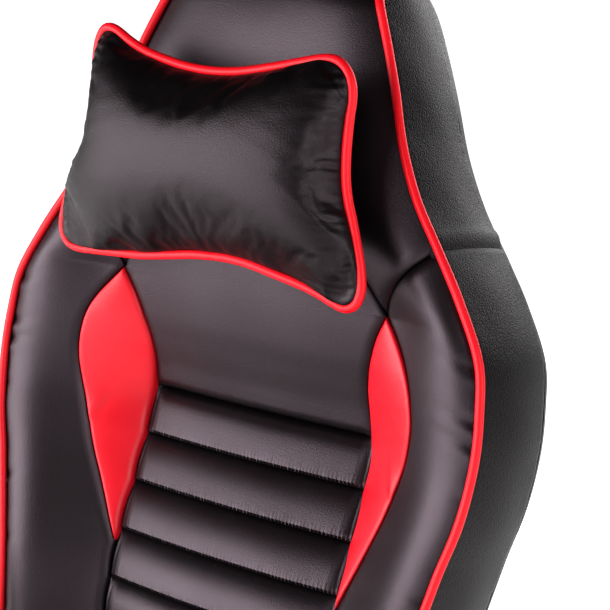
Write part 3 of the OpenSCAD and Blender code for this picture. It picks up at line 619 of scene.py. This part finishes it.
def side_skins():
    """The grained sides, from the piping back to the rear seam, with a cross seam at each shoulder."""
    line, out = outline()
    q = np.concatenate([[0, 0.012, 0.03], np.linspace(0.06, 0.94, 26), [0.97, 0.99, 1]])[:, None]
    v = line[:, 1][None, :]
    near_shoulder = np.abs(np.minimum(v, BACK_TOP) - SHOULDER)
    edge = np.minimum(q, 1 - q) * 90
    lift_out = table(FLARE, v) * q + 5 * np.sin(np.pi * q) - tuck(edge, 5, 3.5)
    lift_out = lift_out + 0.8 * ripple(v, q * 90 + line[:, 0][None, :] * 0.01, 80, 71)
    lift_out = lift_out + 1.5 * hill(v - SHOULDER - 9, 5) - tuck(near_shoulder, 4, 3.0)
    lift_out = lift_out + 0.7 * ripple(v, q * 30, 14, 73) * np.exp(-edge / 8)
    x = line[:, 0][None, :] + out[:, 0][None, :] * (lift_out + 1.2)
    z = line[:, 1][None, :] + out[:, 1][None, :] * (lift_out + 1.2)
    rim, rear = rim_y(np.minimum(v, BACK_TOP)) - 0.5, rear_y(np.minimum(v, BACK_TOP)) - 0.5
    y = rim + (rear - rim) * q
    inner_x, inner_v = (line - out * 7).T
    # rows follow the outline and columns go from the piping to the rear seam
    front = placed(x, y, z).transpose(1, 0, 2)
    shape = block(front, placed(inner_x, y[0], inner_v), placed(inner_x, y[-1], inner_v))
    piece("side_skin", shape, "backrest", GRAINED)


def rear_skin():
    """The rear cover, crowned, with a yoke seam and two long seams."""
    v = joined(spread(BACK_BOTTOM - 2, SHOULDER, 90), spread(SHOULDER, BACK_TOP, 80))[:, None]
    q = np.linspace(1, -1, 151)[None, :]
    q = np.sin(q * np.pi / 2) * 0.35 + q * 0.65
    w = edge_w(v) + table(FLARE, v) + 0.5
    x = w * q
    low = np.clip(1 - (v - BACK_BOTTOM + 2) / 26, 0, 1)
    high = np.clip((v - 770) / 80, 0, 1)
    depth = 50 * np.sqrt(np.clip(1 - 0.92 * high**3, 0, 1)) * np.sqrt(np.clip(1 - 0.7 * low**2, 0, 1))
    y = rear_y(v) + depth * np.sqrt(np.clip(1 - np.abs(q) ** 4, 0, 1))
    seam = np.abs(np.abs(x) - 0.56 * w * (1 + 0.08 * np.sin((v - 60) / 560 * np.pi)))
    seam = np.where(v < SHOULDER, seam, 99)
    yoke = np.abs(v - SHOULDER)
    groove = tuck(seam, 7, 3.5) + tuck(yoke, 7, 3.5)
    y = y - groove * (np.abs(q) < 0.985) + 1.0 * ripple(x, v, 120, 81) * (1 - q**8)
    y = y - 0.8 * ripple(x, v * 0.2, 13, 83) * np.exp(-yoke / 9)
    y = y - 0.6 * ripple(x * 0.2, v, 15, 87) * np.exp(-seam / 9)
    crease = np.exp(-np.minimum(seam, yoke) / 3)
    shape = cushion(x, y, crest(x, v), rear_y(v[:, 0]) - 0.2)
    piece("rear_skin", shape, "backrest", GRAINED, ("back_cover",), tags=crease)


# ---- head pillow

PILLOW_MIDDLE = (0, -174, 655)
PILLOW_ROLL = math.radians(3)
PILLOW_LEAN = 0.15
# the seam line (across, up) clockwise from the top middle, and which of its points are the corners
PILLOW_SEAM = [(-8, 77.2), (19, 79.7), (53, 87), (81, 95), (100, 99.6), (114.4, 100), (124.6, 94),
               (130.6, 84), (132.6, 72), (132, 57), (132.4, 34), (134.5, 12), (139, -5), (145, -20),
               (153, -42), (158, -58), (160.3, -73), (156.5, -85), (147.5, -90), (136, -88.3),
               (123, -84.6), (103, -79.8), (82, -76.6), (51, -73), (29, -72.3), (9, -73.8), (-13, -76.5),
               (-45, -84), (-65, -88), (-90, -91), (-120, -94), (-143, -95.5), (-155, -91), (-160, -78),
               (-158, -60), (-153, -42), (-145, -20), (-139, -5), (-134.5, 12), (-132.4, 34), (-132, 57),
               (-132.6, 74), (-131, 89), (-125, 99.5), (-114, 100), (-96, 92), (-73, 84.3), (-40, 78.3)]
PILLOW_CORNERS = (6, 17, 32, 43)


def closed_curve(points, between):
    """A closed Catmull-Rom curve, with `between` steps from each given point to the next."""
    p = np.array(points, float)
    a, b, c, d = np.roll(p, 1, 0), p, np.roll(p, -1, 0), np.roll(p, -2, 0)
    t = (np.arange(between) / between)[None, :, None]
    a, b, c, d = (k[:, None] for k in (a, b, c, d))
    square, cube = 2 * a - 5 * b + 4 * c - d, 3 * b - a - 3 * c + d
    return (0.5 * (2 * b + (c - a) * t + square * t**2 + cube * t**3)).reshape(-1, 2)


def pillow_place(a, d, h):
    """Pillow millimetres to the world: a across, d rearwards from its seam plane, h up."""
    c, s = math.cos(PILLOW_ROLL), math.sin(PILLOW_ROLL)
    x, v = a * c + h * s, h * c - a * s
    return placed(x + PILLOW_MIDDLE[0], d + PILLOW_MIDDLE[1] - PILLOW_LEAN * h, v + PILLOW_MIDDLE[2])


def head_pillow():
    """Two leather panels sewn along a piped seam: modelled full, then settled and wrinkled as cloth."""
    wide, tall, between = 97, 65, 12
    curve = closed_curve(PILLOW_SEAM, between)
    cut = [between * c for c in PILLOW_CORNERS]
    right, low, left, top = (resampled(np.roll(curve, -a, 0)[: (b - a) % len(curve) + 1], n) for a, b, n in
                             zip(cut, cut[1:] + cut[:1], (tall, wide, tall, wide)))
    low, right = low[::-1], right[::-1]
    u, w = np.linspace(0, 1, wide)[None, :, None], np.linspace(0, 1, tall)[:, None, None]
    flat = ((1 - w) * low[None] + w * top[None] + (1 - u) * left[:, None] + u * right[:, None]
            - (1 - w) * ((1 - u) * low[0] + u * low[-1]) - w * ((1 - u) * top[0] + u * top[-1]))
    p, q = 2 * u[..., 0] - 1, 2 * w[..., 0] - 1
    full = 44 * (1 - np.abs(q) ** 2.3) ** 0.6 * (1 - np.abs(p) ** 4.2) ** 0.62
    index = np.arange(wide * tall).reshape(tall, wide)
    back = index.copy()
    back[1:-1, 1:-1] = wide * tall + np.arange((wide - 2) * (tall - 2)).reshape(tall - 2, wide - 2)
    a, h = flat[..., 0], flat[..., 1]
    coords = np.concatenate([np.stack([a, -full, h], -1).reshape(-1, 3),
                             np.stack([a, full, h], -1)[1:-1, 1:-1].reshape(-1, 3)])
    faces = grid_faces(index) + grid_faces(back[:, ::-1])
    made = piece("head_pillow_cover", (pillow_place(*coords.T), faces), "pillow", PILLOW_LEATHER,
                 ("head_pillow",), sharp=180)
    seam = np.concatenate([index[0], index[-1], index[1:-1, 0], index[1:-1, -1]])
    inflate(made, seam.tolist(), 14, 5.0, 0.035, 7 * MM)
    at = places(made.data)
    # gathers along the two end seams and, finer, along the top and bottom; then kept clear of the head behind
    across, up = np.zeros(len(at)), np.zeros(len(at))
    for which in (index, back):
        across[which], up[which] = 0 * q + p, q + 0 * p
    end, edge = (1 - np.abs(across)) * 140, (1 - np.abs(up)) * 85
    height, along = coords[:, 2], coords[:, 0]
    face = np.where(np.arange(len(at)) < wide * tall, -1, 1)
    soft = np.clip(end / 5, 0, 1) * np.clip(edge / 6, 0, 1)
    fold = 2.8 * ripple(height + 0.22 * end, 0.1 * end, 12, 111) * np.exp(-end / 15) * (1 - np.abs(up) ** 3)
    fold = fold + 1.5 * ripple(height * 0.8 - 0.3 * end, 0.15 * end, 21, 113) * np.exp(-end / 32)
    fold = fold + 0.9 * ripple(along, edge * 0.2, 15, 115) * np.exp(-edge / 8)
    at = at + MM * (face * fold * soft)[:, None] * REAR
    local = (at - PIVOT) / MM
    x, y, v = local[:, 0], local @ REAR, local @ UP
    # the head leans forward with height, so the limit is for every height that the pillow slides to
    nearest = np.min([front_y(x, np.clip(v + slide, 60, 850)) for slide in (-40, -20, 0, 14, 28, 42)], axis=0)
    over_head = np.maximum(0, y - (nearest - 2.4))
    at = at - MM * over_head[:, None] * REAR
    place(made, at)
    smooth_once(made)
    gather_ends(made, curve)
    line = resampled(np.concatenate([curve, curve[:1]]), 301)[:-1]
    middle = line.mean(0)
    line = line + 1.2 * (line - middle) / np.linalg.norm(line - middle, axis=1)[:, None]
    joint = hill(line[:, 0] - 14, 1.6) * (line[:, 1] < 0)
    up = line[:, 1] + 0.8 * ripple(line[:, 0], line[:, 1], 60, 117)
    path = pillow_place(line[:, 0], 0 * line[:, 0], up)
    piece("head_pillow_piping", tube(path, (4.1 - 0.9 * joint) * MM, 16, REAR, closed=True), "pillow",
          RED_PIPING)


def gather_ends(made, curve):
    """Fine puckers across the pillow's two end seams, where the stitches pull the leather in."""
    at = places(made.data)
    local = (at - PIVOT) / MM
    x, v = local[:, 0] - PILLOW_MIDDLE[0], local @ UP - PILLOW_MIDDLE[2]
    c, s = math.cos(PILLOW_ROLL), math.sin(PILLOW_ROLL)
    a, h = x * c - v * s, x * s + v * c
    behind = local @ REAR - PILLOW_MIDDLE[1] + PILLOW_LEAN * h
    to_seam = np.min(np.hypot(a[:, None] - curve[None, :, 0], h[:, None] - curve[None, :, 1]), axis=1)
    pucker = 2.4 * ripple(h + 0.2 * to_seam, 0.08 * to_seam, 6.5, 119) * np.exp(-to_seam / 11)
    pucker = pucker * np.clip((np.abs(a) - 100) / 22, 0, 1) * np.clip(to_seam / 2.5, 0, 1)
    at = at + MM * (np.where(behind < 0, -1, 1) * pucker)[:, None] * REAR
    place(made, at)


def inflate(made, pinned, frames, pressure, spare, limit):
    """Blows a closed cover up as cloth with its seam held; no point moves further than the limit."""
    scene = bpy.context.scene
    before = places(made.data)
    group = made.vertex_groups.new(name="seam")
    group.add(pinned, 1.0, "REPLACE")
    cloth = made.modifiers.new("cloth", "CLOTH")
    s = cloth.settings
    s.quality = 6
    s.mass = 0.15
    s.tension_stiffness = s.compression_stiffness = 18
    s.shear_stiffness = 8
    s.bending_stiffness = 0.12
    s.air_damping = 4
    s.use_pressure = True
    s.uniform_pressure_force = pressure
    s.shrink_min = s.shrink_max = -spare
    s.vertex_group_mass = "seam"
    s.effector_weights.gravity = 0
    cloth.collision_settings.use_collision = False
    cloth.collision_settings.use_self_collision = False
    cloth.point_cache.frame_start, cloth.point_cache.frame_end = 1, frames
    for f in range(1, frames + 1):
        scene.frame_set(f)
    settled = made.evaluated_get(bpy.context.evaluated_depsgraph_get())
    moved = places(settled.to_mesh()) - before
    settled.to_mesh_clear()
    made.modifiers.remove(cloth)
    scene.frame_set(1)
    length = np.linalg.norm(moved, axis=1)[:, None] + 1e-9
    moved *= limit * np.tanh(length / limit) / length
    place(made, before + moved)


def smooth_once(made):
    """One level of subdivision, applied."""
    sub = made.modifiers.new("smooth", "SUBSURF")
    sub.levels = sub.render_levels = 1
    graph = bpy.context.evaluated_depsgraph_get()
    mesh = bpy.data.meshes.new_from_object(made.evaluated_get(graph))
    made.modifiers.remove(sub)
    made.data = mesh


# ---- seat, in world millimetres

SEAT_FRONT, SEAT_REAR, SEAT_UNDER = -290, 195, 388.6
# half the width between the bolsters
SEAT_CORE = 122
SEAT_RISE = [[0, 0], [0.22, 0.13], [0.48, 0.55], [0.66, 0.9], [0.79, 1.0], [0.9, 0.95], [1.0, 0.70]]


def over(start, end, y):
    """How far past start, as a share of the way to end, squared."""
    return np.clip((y - start) / (end - start), 0, None) ** 2


def seat_w(y):
    return 262 - 24 * over(-200, SEAT_FRONT, y) - 16 * over(40, SEAT_REAR, y)


def seat_seam(y):
    """Where the seat's bolster begins."""
    return SEAT_CORE + np.maximum(2, 44 * np.sin(np.pi * np.clip((y + 215) / 330, 0, 1)))


def seat_top(x, y):
    """The upholstered top before it is divided: hollow in the middle, with bolsters and a rounded front."""
    s = np.clip((np.abs(x) - SEAT_CORE) / (seat_w(y) - SEAT_CORE), 0, 1)
    dip = 10 * over(150, SEAT_REAR, y)
    side_dip = 32 * over(125, SEAT_REAR, y)
    z = 460.5 + 7 * (1 - np.clip(np.abs(x) / SEAT_CORE, 0, 1) ** 2) + 42 * table(SEAT_RISE, s)
    return z - 46 * over(-200, SEAT_FRONT, y) - dip - (side_dip - dip) * np.clip(s / 0.4, 0, 1)


def seat_rows(runs):
    """Positions along the seat, up its rounded front first, with the share of the height at each."""
    turn = np.linspace(0, np.pi / 2, 12)
    wall = np.linspace(0.02, 0.55, 8)[:-1]
    y = np.concatenate([SEAT_FRONT + 2 * (1 - wall / 0.55) ** 2, SEAT_FRONT + 17 * (1 - np.cos(turn)), runs])
    k = np.concatenate([wall, 0.55 + 0.45 * np.sin(turn), np.ones(len(runs))])
    return y[:, None], k[:, None]


def seat_block(x, y, z):
    """A closed block from a grid in millimetres, with walls down to the board."""
    x, y, z = np.broadcast_arrays(x, y, z)
    low = np.full(len(x), SEAT_UNDER)
    return block(MM * np.stack([x, y, z], -1), MM * np.stack([x[:, 0], y[:, 0], low], -1),
                 MM * np.stack([x[:, -1], y[:, -1], low], -1))


# folds beside the seat's piping: place along the seat, and depth
SEAT_FOLDS = [(-228, 1.6), (-150, 1.3), (-60, 1.5), (28, 1.3), (96, 1.8), (104, -1.2), (150, 1.5)]


def seat_cushions():
    """The middle cushion with its sewn channels, the two red inserts and the two bolsters."""
    front_seam, last_seam = -192, 130
    pitch = (last_seam - front_seam) / 7
    seams = np.linspace(front_seam, last_seam, 8)
    runs = joined(*[spread(a, b, 14) for a, b in zip([-273, *seams], [*seams, SEAT_REAR])])[1:]
    y, k = seat_rows(runs)
    s = np.linspace(-1, 1, 301)[None, :]
    x = s * 121.6
    u = ((y - front_seam) / pitch) % 1
    sewn = (y > front_seam) & (y < last_seam)
    past_seams = np.minimum(np.abs(y - front_seam), np.abs(y - last_seam))
    to_seam = np.where(sewn, pitch * np.minimum(u, 1 - u), past_seams)
    to_side = (1 - np.abs(s)) * SEAT_CORE
    stitch = 0.5 + 0.5 * np.cos(2 * np.pi * x / 3.7)
    sunk = np.where(sewn, 8 * (1 - np.sin(np.pi * u) ** 0.7), 8 * (1 - np.clip(to_seam / 30, 0, 1)) ** 2.4)
    sunk = sunk + 1.2 * hill(to_seam, 2.4) * stitch + tuck(to_side, 6, 4.5) + tuck(SEAT_REAR - y, 14, 12)
    z = SEAT_UNDER + (seat_top(x, y) - sunk + 0.6 * ripple(x, y, 90, 91) - SEAT_UNDER) * k
    crease = np.maximum(np.exp(-to_seam / 3), np.exp(-to_side / 3))
    piece("seat_middle_cushion", seat_block(x, y, z), "seat", BLACK_LEATHER, ("seat_pad",),
          tags=crease * k)

    y = spread(-212, 112, 110)[:, None]
    t = spread(0, 1, 20)[None, :]
    a, b = 122.2, np.maximum(seat_seam(y) - 0.2, 122.9)
    x = a + (b - a) * t
    to_side = np.minimum(t, 1 - t) * (b - a)
    z = seat_top(x, y) + np.minimum((b - a) * 0.08, 3) * (1 - (2 * t - 1) ** 2) - tuck(to_side, 4, 3.2)
    z = z + 0.35 * ripple(x, y, 45, 93)
    both = [seat_block(x, y, z), seat_block(-x[:, ::-1], y, z[:, ::-1])]
    piece("seat_red_inserts", merged(*both), "seat", RED_LEATHER, ("seat_inserts",))

    y, k = seat_rows(joined(spread(-273, 0, 90), spread(0, SEAT_REAR, 70))[1:])
    t = spread(0, 1, 60)[None, :]
    for side, label in ((1, "left"), (-1, "right")):
        a = np.where((y > -212) & (y < 112), seat_seam(y) + 0.2, 122.4)
        b = seat_w(y) + 0.3
        x = a + (b - a) * t
        to_piping, to_seam = (1 - t) * (b - a), t * (b - a)
        folds = sum(size * hill(y - at, 4) * np.exp(-to_piping / 12) * np.clip(to_piping / 3, 0, 1)
                    for at, size in SEAT_FOLDS)
        z = seat_top(x, y) - folds + 0.9 * ripple(x, y, 95, 95 + side)
        z = z + 0.6 * ripple(x * 0.2, y, 9, 97) * np.exp(-to_piping / 5)
        z = z - tuck(to_piping, 5, 2.6) - tuck(to_seam, 7, 5) - tuck(SEAT_REAR - y, 16, 14)
        z = SEAT_UNDER + (z - SEAT_UNDER) * k
        crease = np.maximum(np.exp(-to_seam / 2), np.exp(-to_piping / 2)) + 0 * x
        yy = y + 0 * x
        if side < 0:
            x, yy, z, crease = -x[:, ::-1], yy[:, ::-1], z[:, ::-1], crease[:, ::-1]
        piece(f"seat_{label}_bolster", seat_block(x, yy, z), "seat", BLACK_LEATHER,
              (f"seat_bolster_{label}",), tags=crease)
        seat_side(side, label)


def seat_side(side, label):
    """The grained side of the seat, from the piping down and under the board's edge, and its piping."""
    y = joined(spread(SEAT_FRONT, -150, 40), spread(-150, SEAT_REAR - 1, 70))[:, None]
    w = seat_w(y)
    top = seat_top(w, y) - 1
    q = np.concatenate([[0, 0.02, 0.05], np.linspace(0.1, 0.8, 18), np.linspace(0.84, 1, 9)])[None, :]
    down = np.clip(q / 0.8, 0, 1)
    low = 384 + 6 * hill(y - SEAT_FRONT, 18)
    bow = 4 * np.sin(np.pi * down) + 2 * down - tuck(down * (top - low), 5, 3)
    bow = bow + 0.8 * ripple(y, down * 80, 85, 101 + side)
    bow = bow + 0.8 * ripple(y, down * 25, 13, 103) * np.exp(-down * 12)
    turn = np.clip((q - 0.8) / 0.2, 0, 1)
    x = w + bow - 30 * turn**1.5 - tuck(y - SEAT_FRONT, 10, 7) - tuck(SEAT_REAR - y, 10, 7)
    z = np.where(q < 0.8, top + (low - top) * down, low - 7.4 * np.sin(np.pi / 2 * np.clip(turn * 3, 0, 1)))
    front = MM * np.stack(np.broadcast_arrays(x, y, z), -1)
    inner = MM * np.stack(np.broadcast_arrays(w - 8, y, top - 4), -1)[:, 0]
    under = MM * np.stack(np.broadcast_arrays(w - 30, y, low + 3), -1)[:, 0]
    if side < 0:
        front, inner, under = mirrored(front), under * [-1, 1, 1], inner * [-1, 1, 1]
    piece(f"seat_{label}_skin", block(front, inner, under), "seat", GRAINED)
    # the piping runs along the bolster's edge and down the front corner
    y = np.concatenate([np.linspace(186, -262, 160), -262 - 24 * np.sin(np.linspace(0.1, 1, 14) * np.pi / 2)])
    w = seat_w(y)
    x = w + 2.2
    z = seat_top(w, y) - 0.5
    dropped = np.linspace(z[-1], 392, 14)[1:]
    x = np.concatenate([x, x[-1] - 3 + 0 * dropped])
    y = np.concatenate([y, y[-1] - 1.5 + 0 * dropped])
    z = np.concatenate([z, dropped])
    for _ in range(5):
        for line in (x, y, z):
            line[1:-1] = (line[:-2] + 2 * line[1:-1] + line[2:]) / 4
    path = MM * np.stack([side * x, y, z], -1)
    piece(f"seat_{label}_piping", tube(path, 3.9 * MM, 16, (1, 0.02, 0)), "seat", RED_PIPING,
          ("seat_piping",) if side > 0 else ())


# ---- arm pads


# each ring is how far in from the widest outline, and its height above the pad's underside
ARM_RINGS = [(14, 0.3), (13, 0.0), (12, 0.3), (4, 5.0), (2.8, 6.2), (3.2, 7.4), (2.0, 8.6), (0.4, 12.0),
             (0, 15.5), (0.5, 19.0), (2.2, 22.3), (5, 24.8), (9, 26.3), (14, 27.0), (20, 27.2), (27, 27.0),
             (34, 26.6), (40, 26.3)]


def arm_pads():
    """Soft moulded pads: a rounded rectangle in plan, crowned along and across, dished for the forearm."""
    around = 128
    turn = 2 * np.pi * (np.arange(around) + 0.5) / around
    c, s = np.cos(turn), np.sin(turn)
    power = 2 / 3.6
    plan = np.stack([np.sign(c) * np.abs(c) ** power, np.sign(s) * np.abs(s) ** power], -1)
    for side, label in ((1, "left"), (-1, "right")):
        low, high = (np.array(v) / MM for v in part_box(f"arm_pad_{label}"))
        centre, half = (low + high) / 2, (high - low) / 2
        rings = []
        for inset, z in ARM_RINGS:
            size = half[:2] - inset
            ring = plan * np.maximum(size, 0.5)
            top = np.clip((z - 20) / 7, 0, 1)
            along = ring[:, 1] / half[1]
            dish = 1.4 * (1 - np.clip(np.abs(ring[:, 0]) / half[0], 0, 1) ** 2)
            dish = dish + 2.2 * np.clip(-along - 0.45, 0, 1)
            rings.append(np.column_stack([ring + centre[:2], low[2] + z - top * dish]))
        index = np.arange(len(rings) * around).reshape(-1, around)
        faces = grid_faces(np.concatenate([index, index[:, :1]], 1))
        faces += [index[0, ::-1].tolist(), index[-1].tolist()]
        piece(f"arm_{label}_pad", (MM * np.concatenate(rings), faces), f"armrest_{label}", RUBBER,
              (f"arm_pad_{label}",), sharp=50)


# ---- stage


def softbox(name, where, target, size, power):
    """A soft rectangular light that doesn't show itself."""
    light = bpy.data.lights.new(name, "AREA")
    light.shape = "RECTANGLE"
    light.size, light.size_y = size
    light.energy = power
    made = added(name, light)
    made.location = where
    made.rotation_euler = (Vector(where) - Vector(target)).to_track_quat("Z", "Y").to_euler()
    made.visible_camera = False


def studio():
    """A pale floor, a white backdrop that only the camera sees, and three softboxes."""
    mesh = bpy.data.meshes.new("floor")
    far = 30
    mesh.from_pydata([(-far, -far, 0), (far, -far, 0), (far, far, 0), (-far, far, 0)], [], [(0, 1, 2, 3)])
    mat, _, _, shader = new_material("pale_floor")
    give(shader, Base_Color=(0.86, 0.86, 0.86, 1), Roughness=0.9, Emission_Color=(1, 1, 1, 1),
         Emission_Strength=0.92)
    mesh.materials.append(mat)
    added("floor", mesh)
    world = bpy.data.worlds.new("studio")
    world.use_nodes = True
    nodes, links = world.node_tree.nodes, world.node_tree.links
    at, split = nodes.new("ShaderNodeTexCoord"), nodes.new("ShaderNodeSeparateXYZ")
    links.new(at.outputs["Generated"], split.inputs["Vector"])
    sky = ramp(nodes, links, split.outputs["Z"], [(0.0, 0.7), (0.05, 0.5), (0.22, 0.02), (1.0, 0.008)])
    seen = nodes.new("ShaderNodeLightPath").outputs["Is Camera Ray"]
    links.new(mix(nodes, links, seen, sky, (1.0, 1.0, 1.0)), nodes["Background"].inputs["Color"])
    give(nodes["Background"], Strength=1.0)
    bpy.context.scene.world = world
    head = (0, 0.2, 1.0)
    softbox("key_light", (-1.8, -2.4, 1.36), head, (4.2, 2.1), 158)
    softbox("side_light", (2.8, -0.4, 1.6), head, (0.9, 1.6), 30)
    softbox("rear_light", (0.8, 2.8, 2.0), (0, 0.1, 0.8), (2.4, 1.6), 45)
    look = bpy.context.scene.view_settings
    look.view_transform = "Standard"
    look.exposure, look.gamma = 0.30, 0.82


def camera():
    """The photograph's view: from the sitter's front left, a little above the head, with a long lens."""
    turn, rise, roll = math.radians(33.1), math.radians(15.5), math.radians(1.0)
    target, distance = Vector((0.052, 0.28526, 0.97297)), 1.232
    back = Vector((math.sin(turn) * math.cos(rise), -math.cos(turn) * math.cos(rise), math.sin(rise)))
    side = Vector((math.cos(turn), math.sin(turn), 0))
    up = back.cross(side)
    across = math.cos(roll) * side + math.sin(roll) * up
    upright = math.cos(roll) * up - math.sin(roll) * side
    data = bpy.data.cameras.new("camera")
    data.lens, data.sensor_width, data.clip_end = 81.4, 36, 100
    made = added("camera", data)
    axes = Matrix((across, upright, back)).transposed().to_4x4()
    made.matrix_world = Matrix.Translation(target + back * distance) @ axes
    bpy.context.scene.camera = made


# ---- finishes of the frame

FINISH = {node: finish for finish, names in (
    (STEEL, "hub_ring caster_stems piston_rod thrust_bearing gas_cylinder tilt_pin tilt_spring "
            "valve_button seat_bolts recliner_pins"),
    (COATED, "column_tube mechanism_housing mechanism_plate back_frame recliner_arms"),
    (PLYWOOD, "seat_board"), (WEBBING, "back_webbing")) for node in names.split()}
# for the other nodes, the first of these words that the name holds, or else nylon
FINISH_BY_WORD = {"insert": RED_LEATHER, "piping": RED_LEATHER, "seat": BLACK_LEATHER, "bracket": COATED,
                  "button": RED_PLASTIC, "post": STEEL, "wheels": WHEEL}
# moulded and bent edges, in millimetres
ROUNDED = {
    "star_base": 2.0, "tension_knob": 1.0, "height_lever": 1.2, "recline_lever": 1.5,
    "mechanism_housing": 1.2, "recliner_arms": 0.6,
    **{f"{part}_{side}": size for part, size in (("arm_bracket", 0.8), ("arm_button", 0.8),
       ("recliner_cover", 1.5)) for side in ("left", "right")},
    **{f"{part}_{k}": 1.0 for part in ("caster_hood", "caster_wheels") for k in range(1, 6)},
}


def finish_frame():
    """Gives every CAD node its material, and rounds the edges of the hardware that shows."""
    for name, node in NODES.items():
        finish = FINISH.get(name) or next((f for word, f in FINISH_BY_WORD.items() if word in name), NYLON)
        node.data.materials.clear()
        node.data.materials.append(finish)
        if name in ROUNDED:
            weld = node.modifiers.new("weld", "WELD")
            weld.merge_threshold = 0.00002
            edge = node.modifiers.new("rounded", "BEVEL")
            edge.limit_method, edge.angle_limit = "ANGLE", math.radians(40)
            edge.width, edge.segments = ROUNDED[name] * MM, 2
            edge.harden_normals = True


# ---- build

camera()
middle_panel()
crescents()
bolster(1)
bolster(-1)
head_panel()
back_piping()
side_skins()
rear_skin()
head_pillow()
seat_cushions()
arm_pads()
finish_frame()
studio()
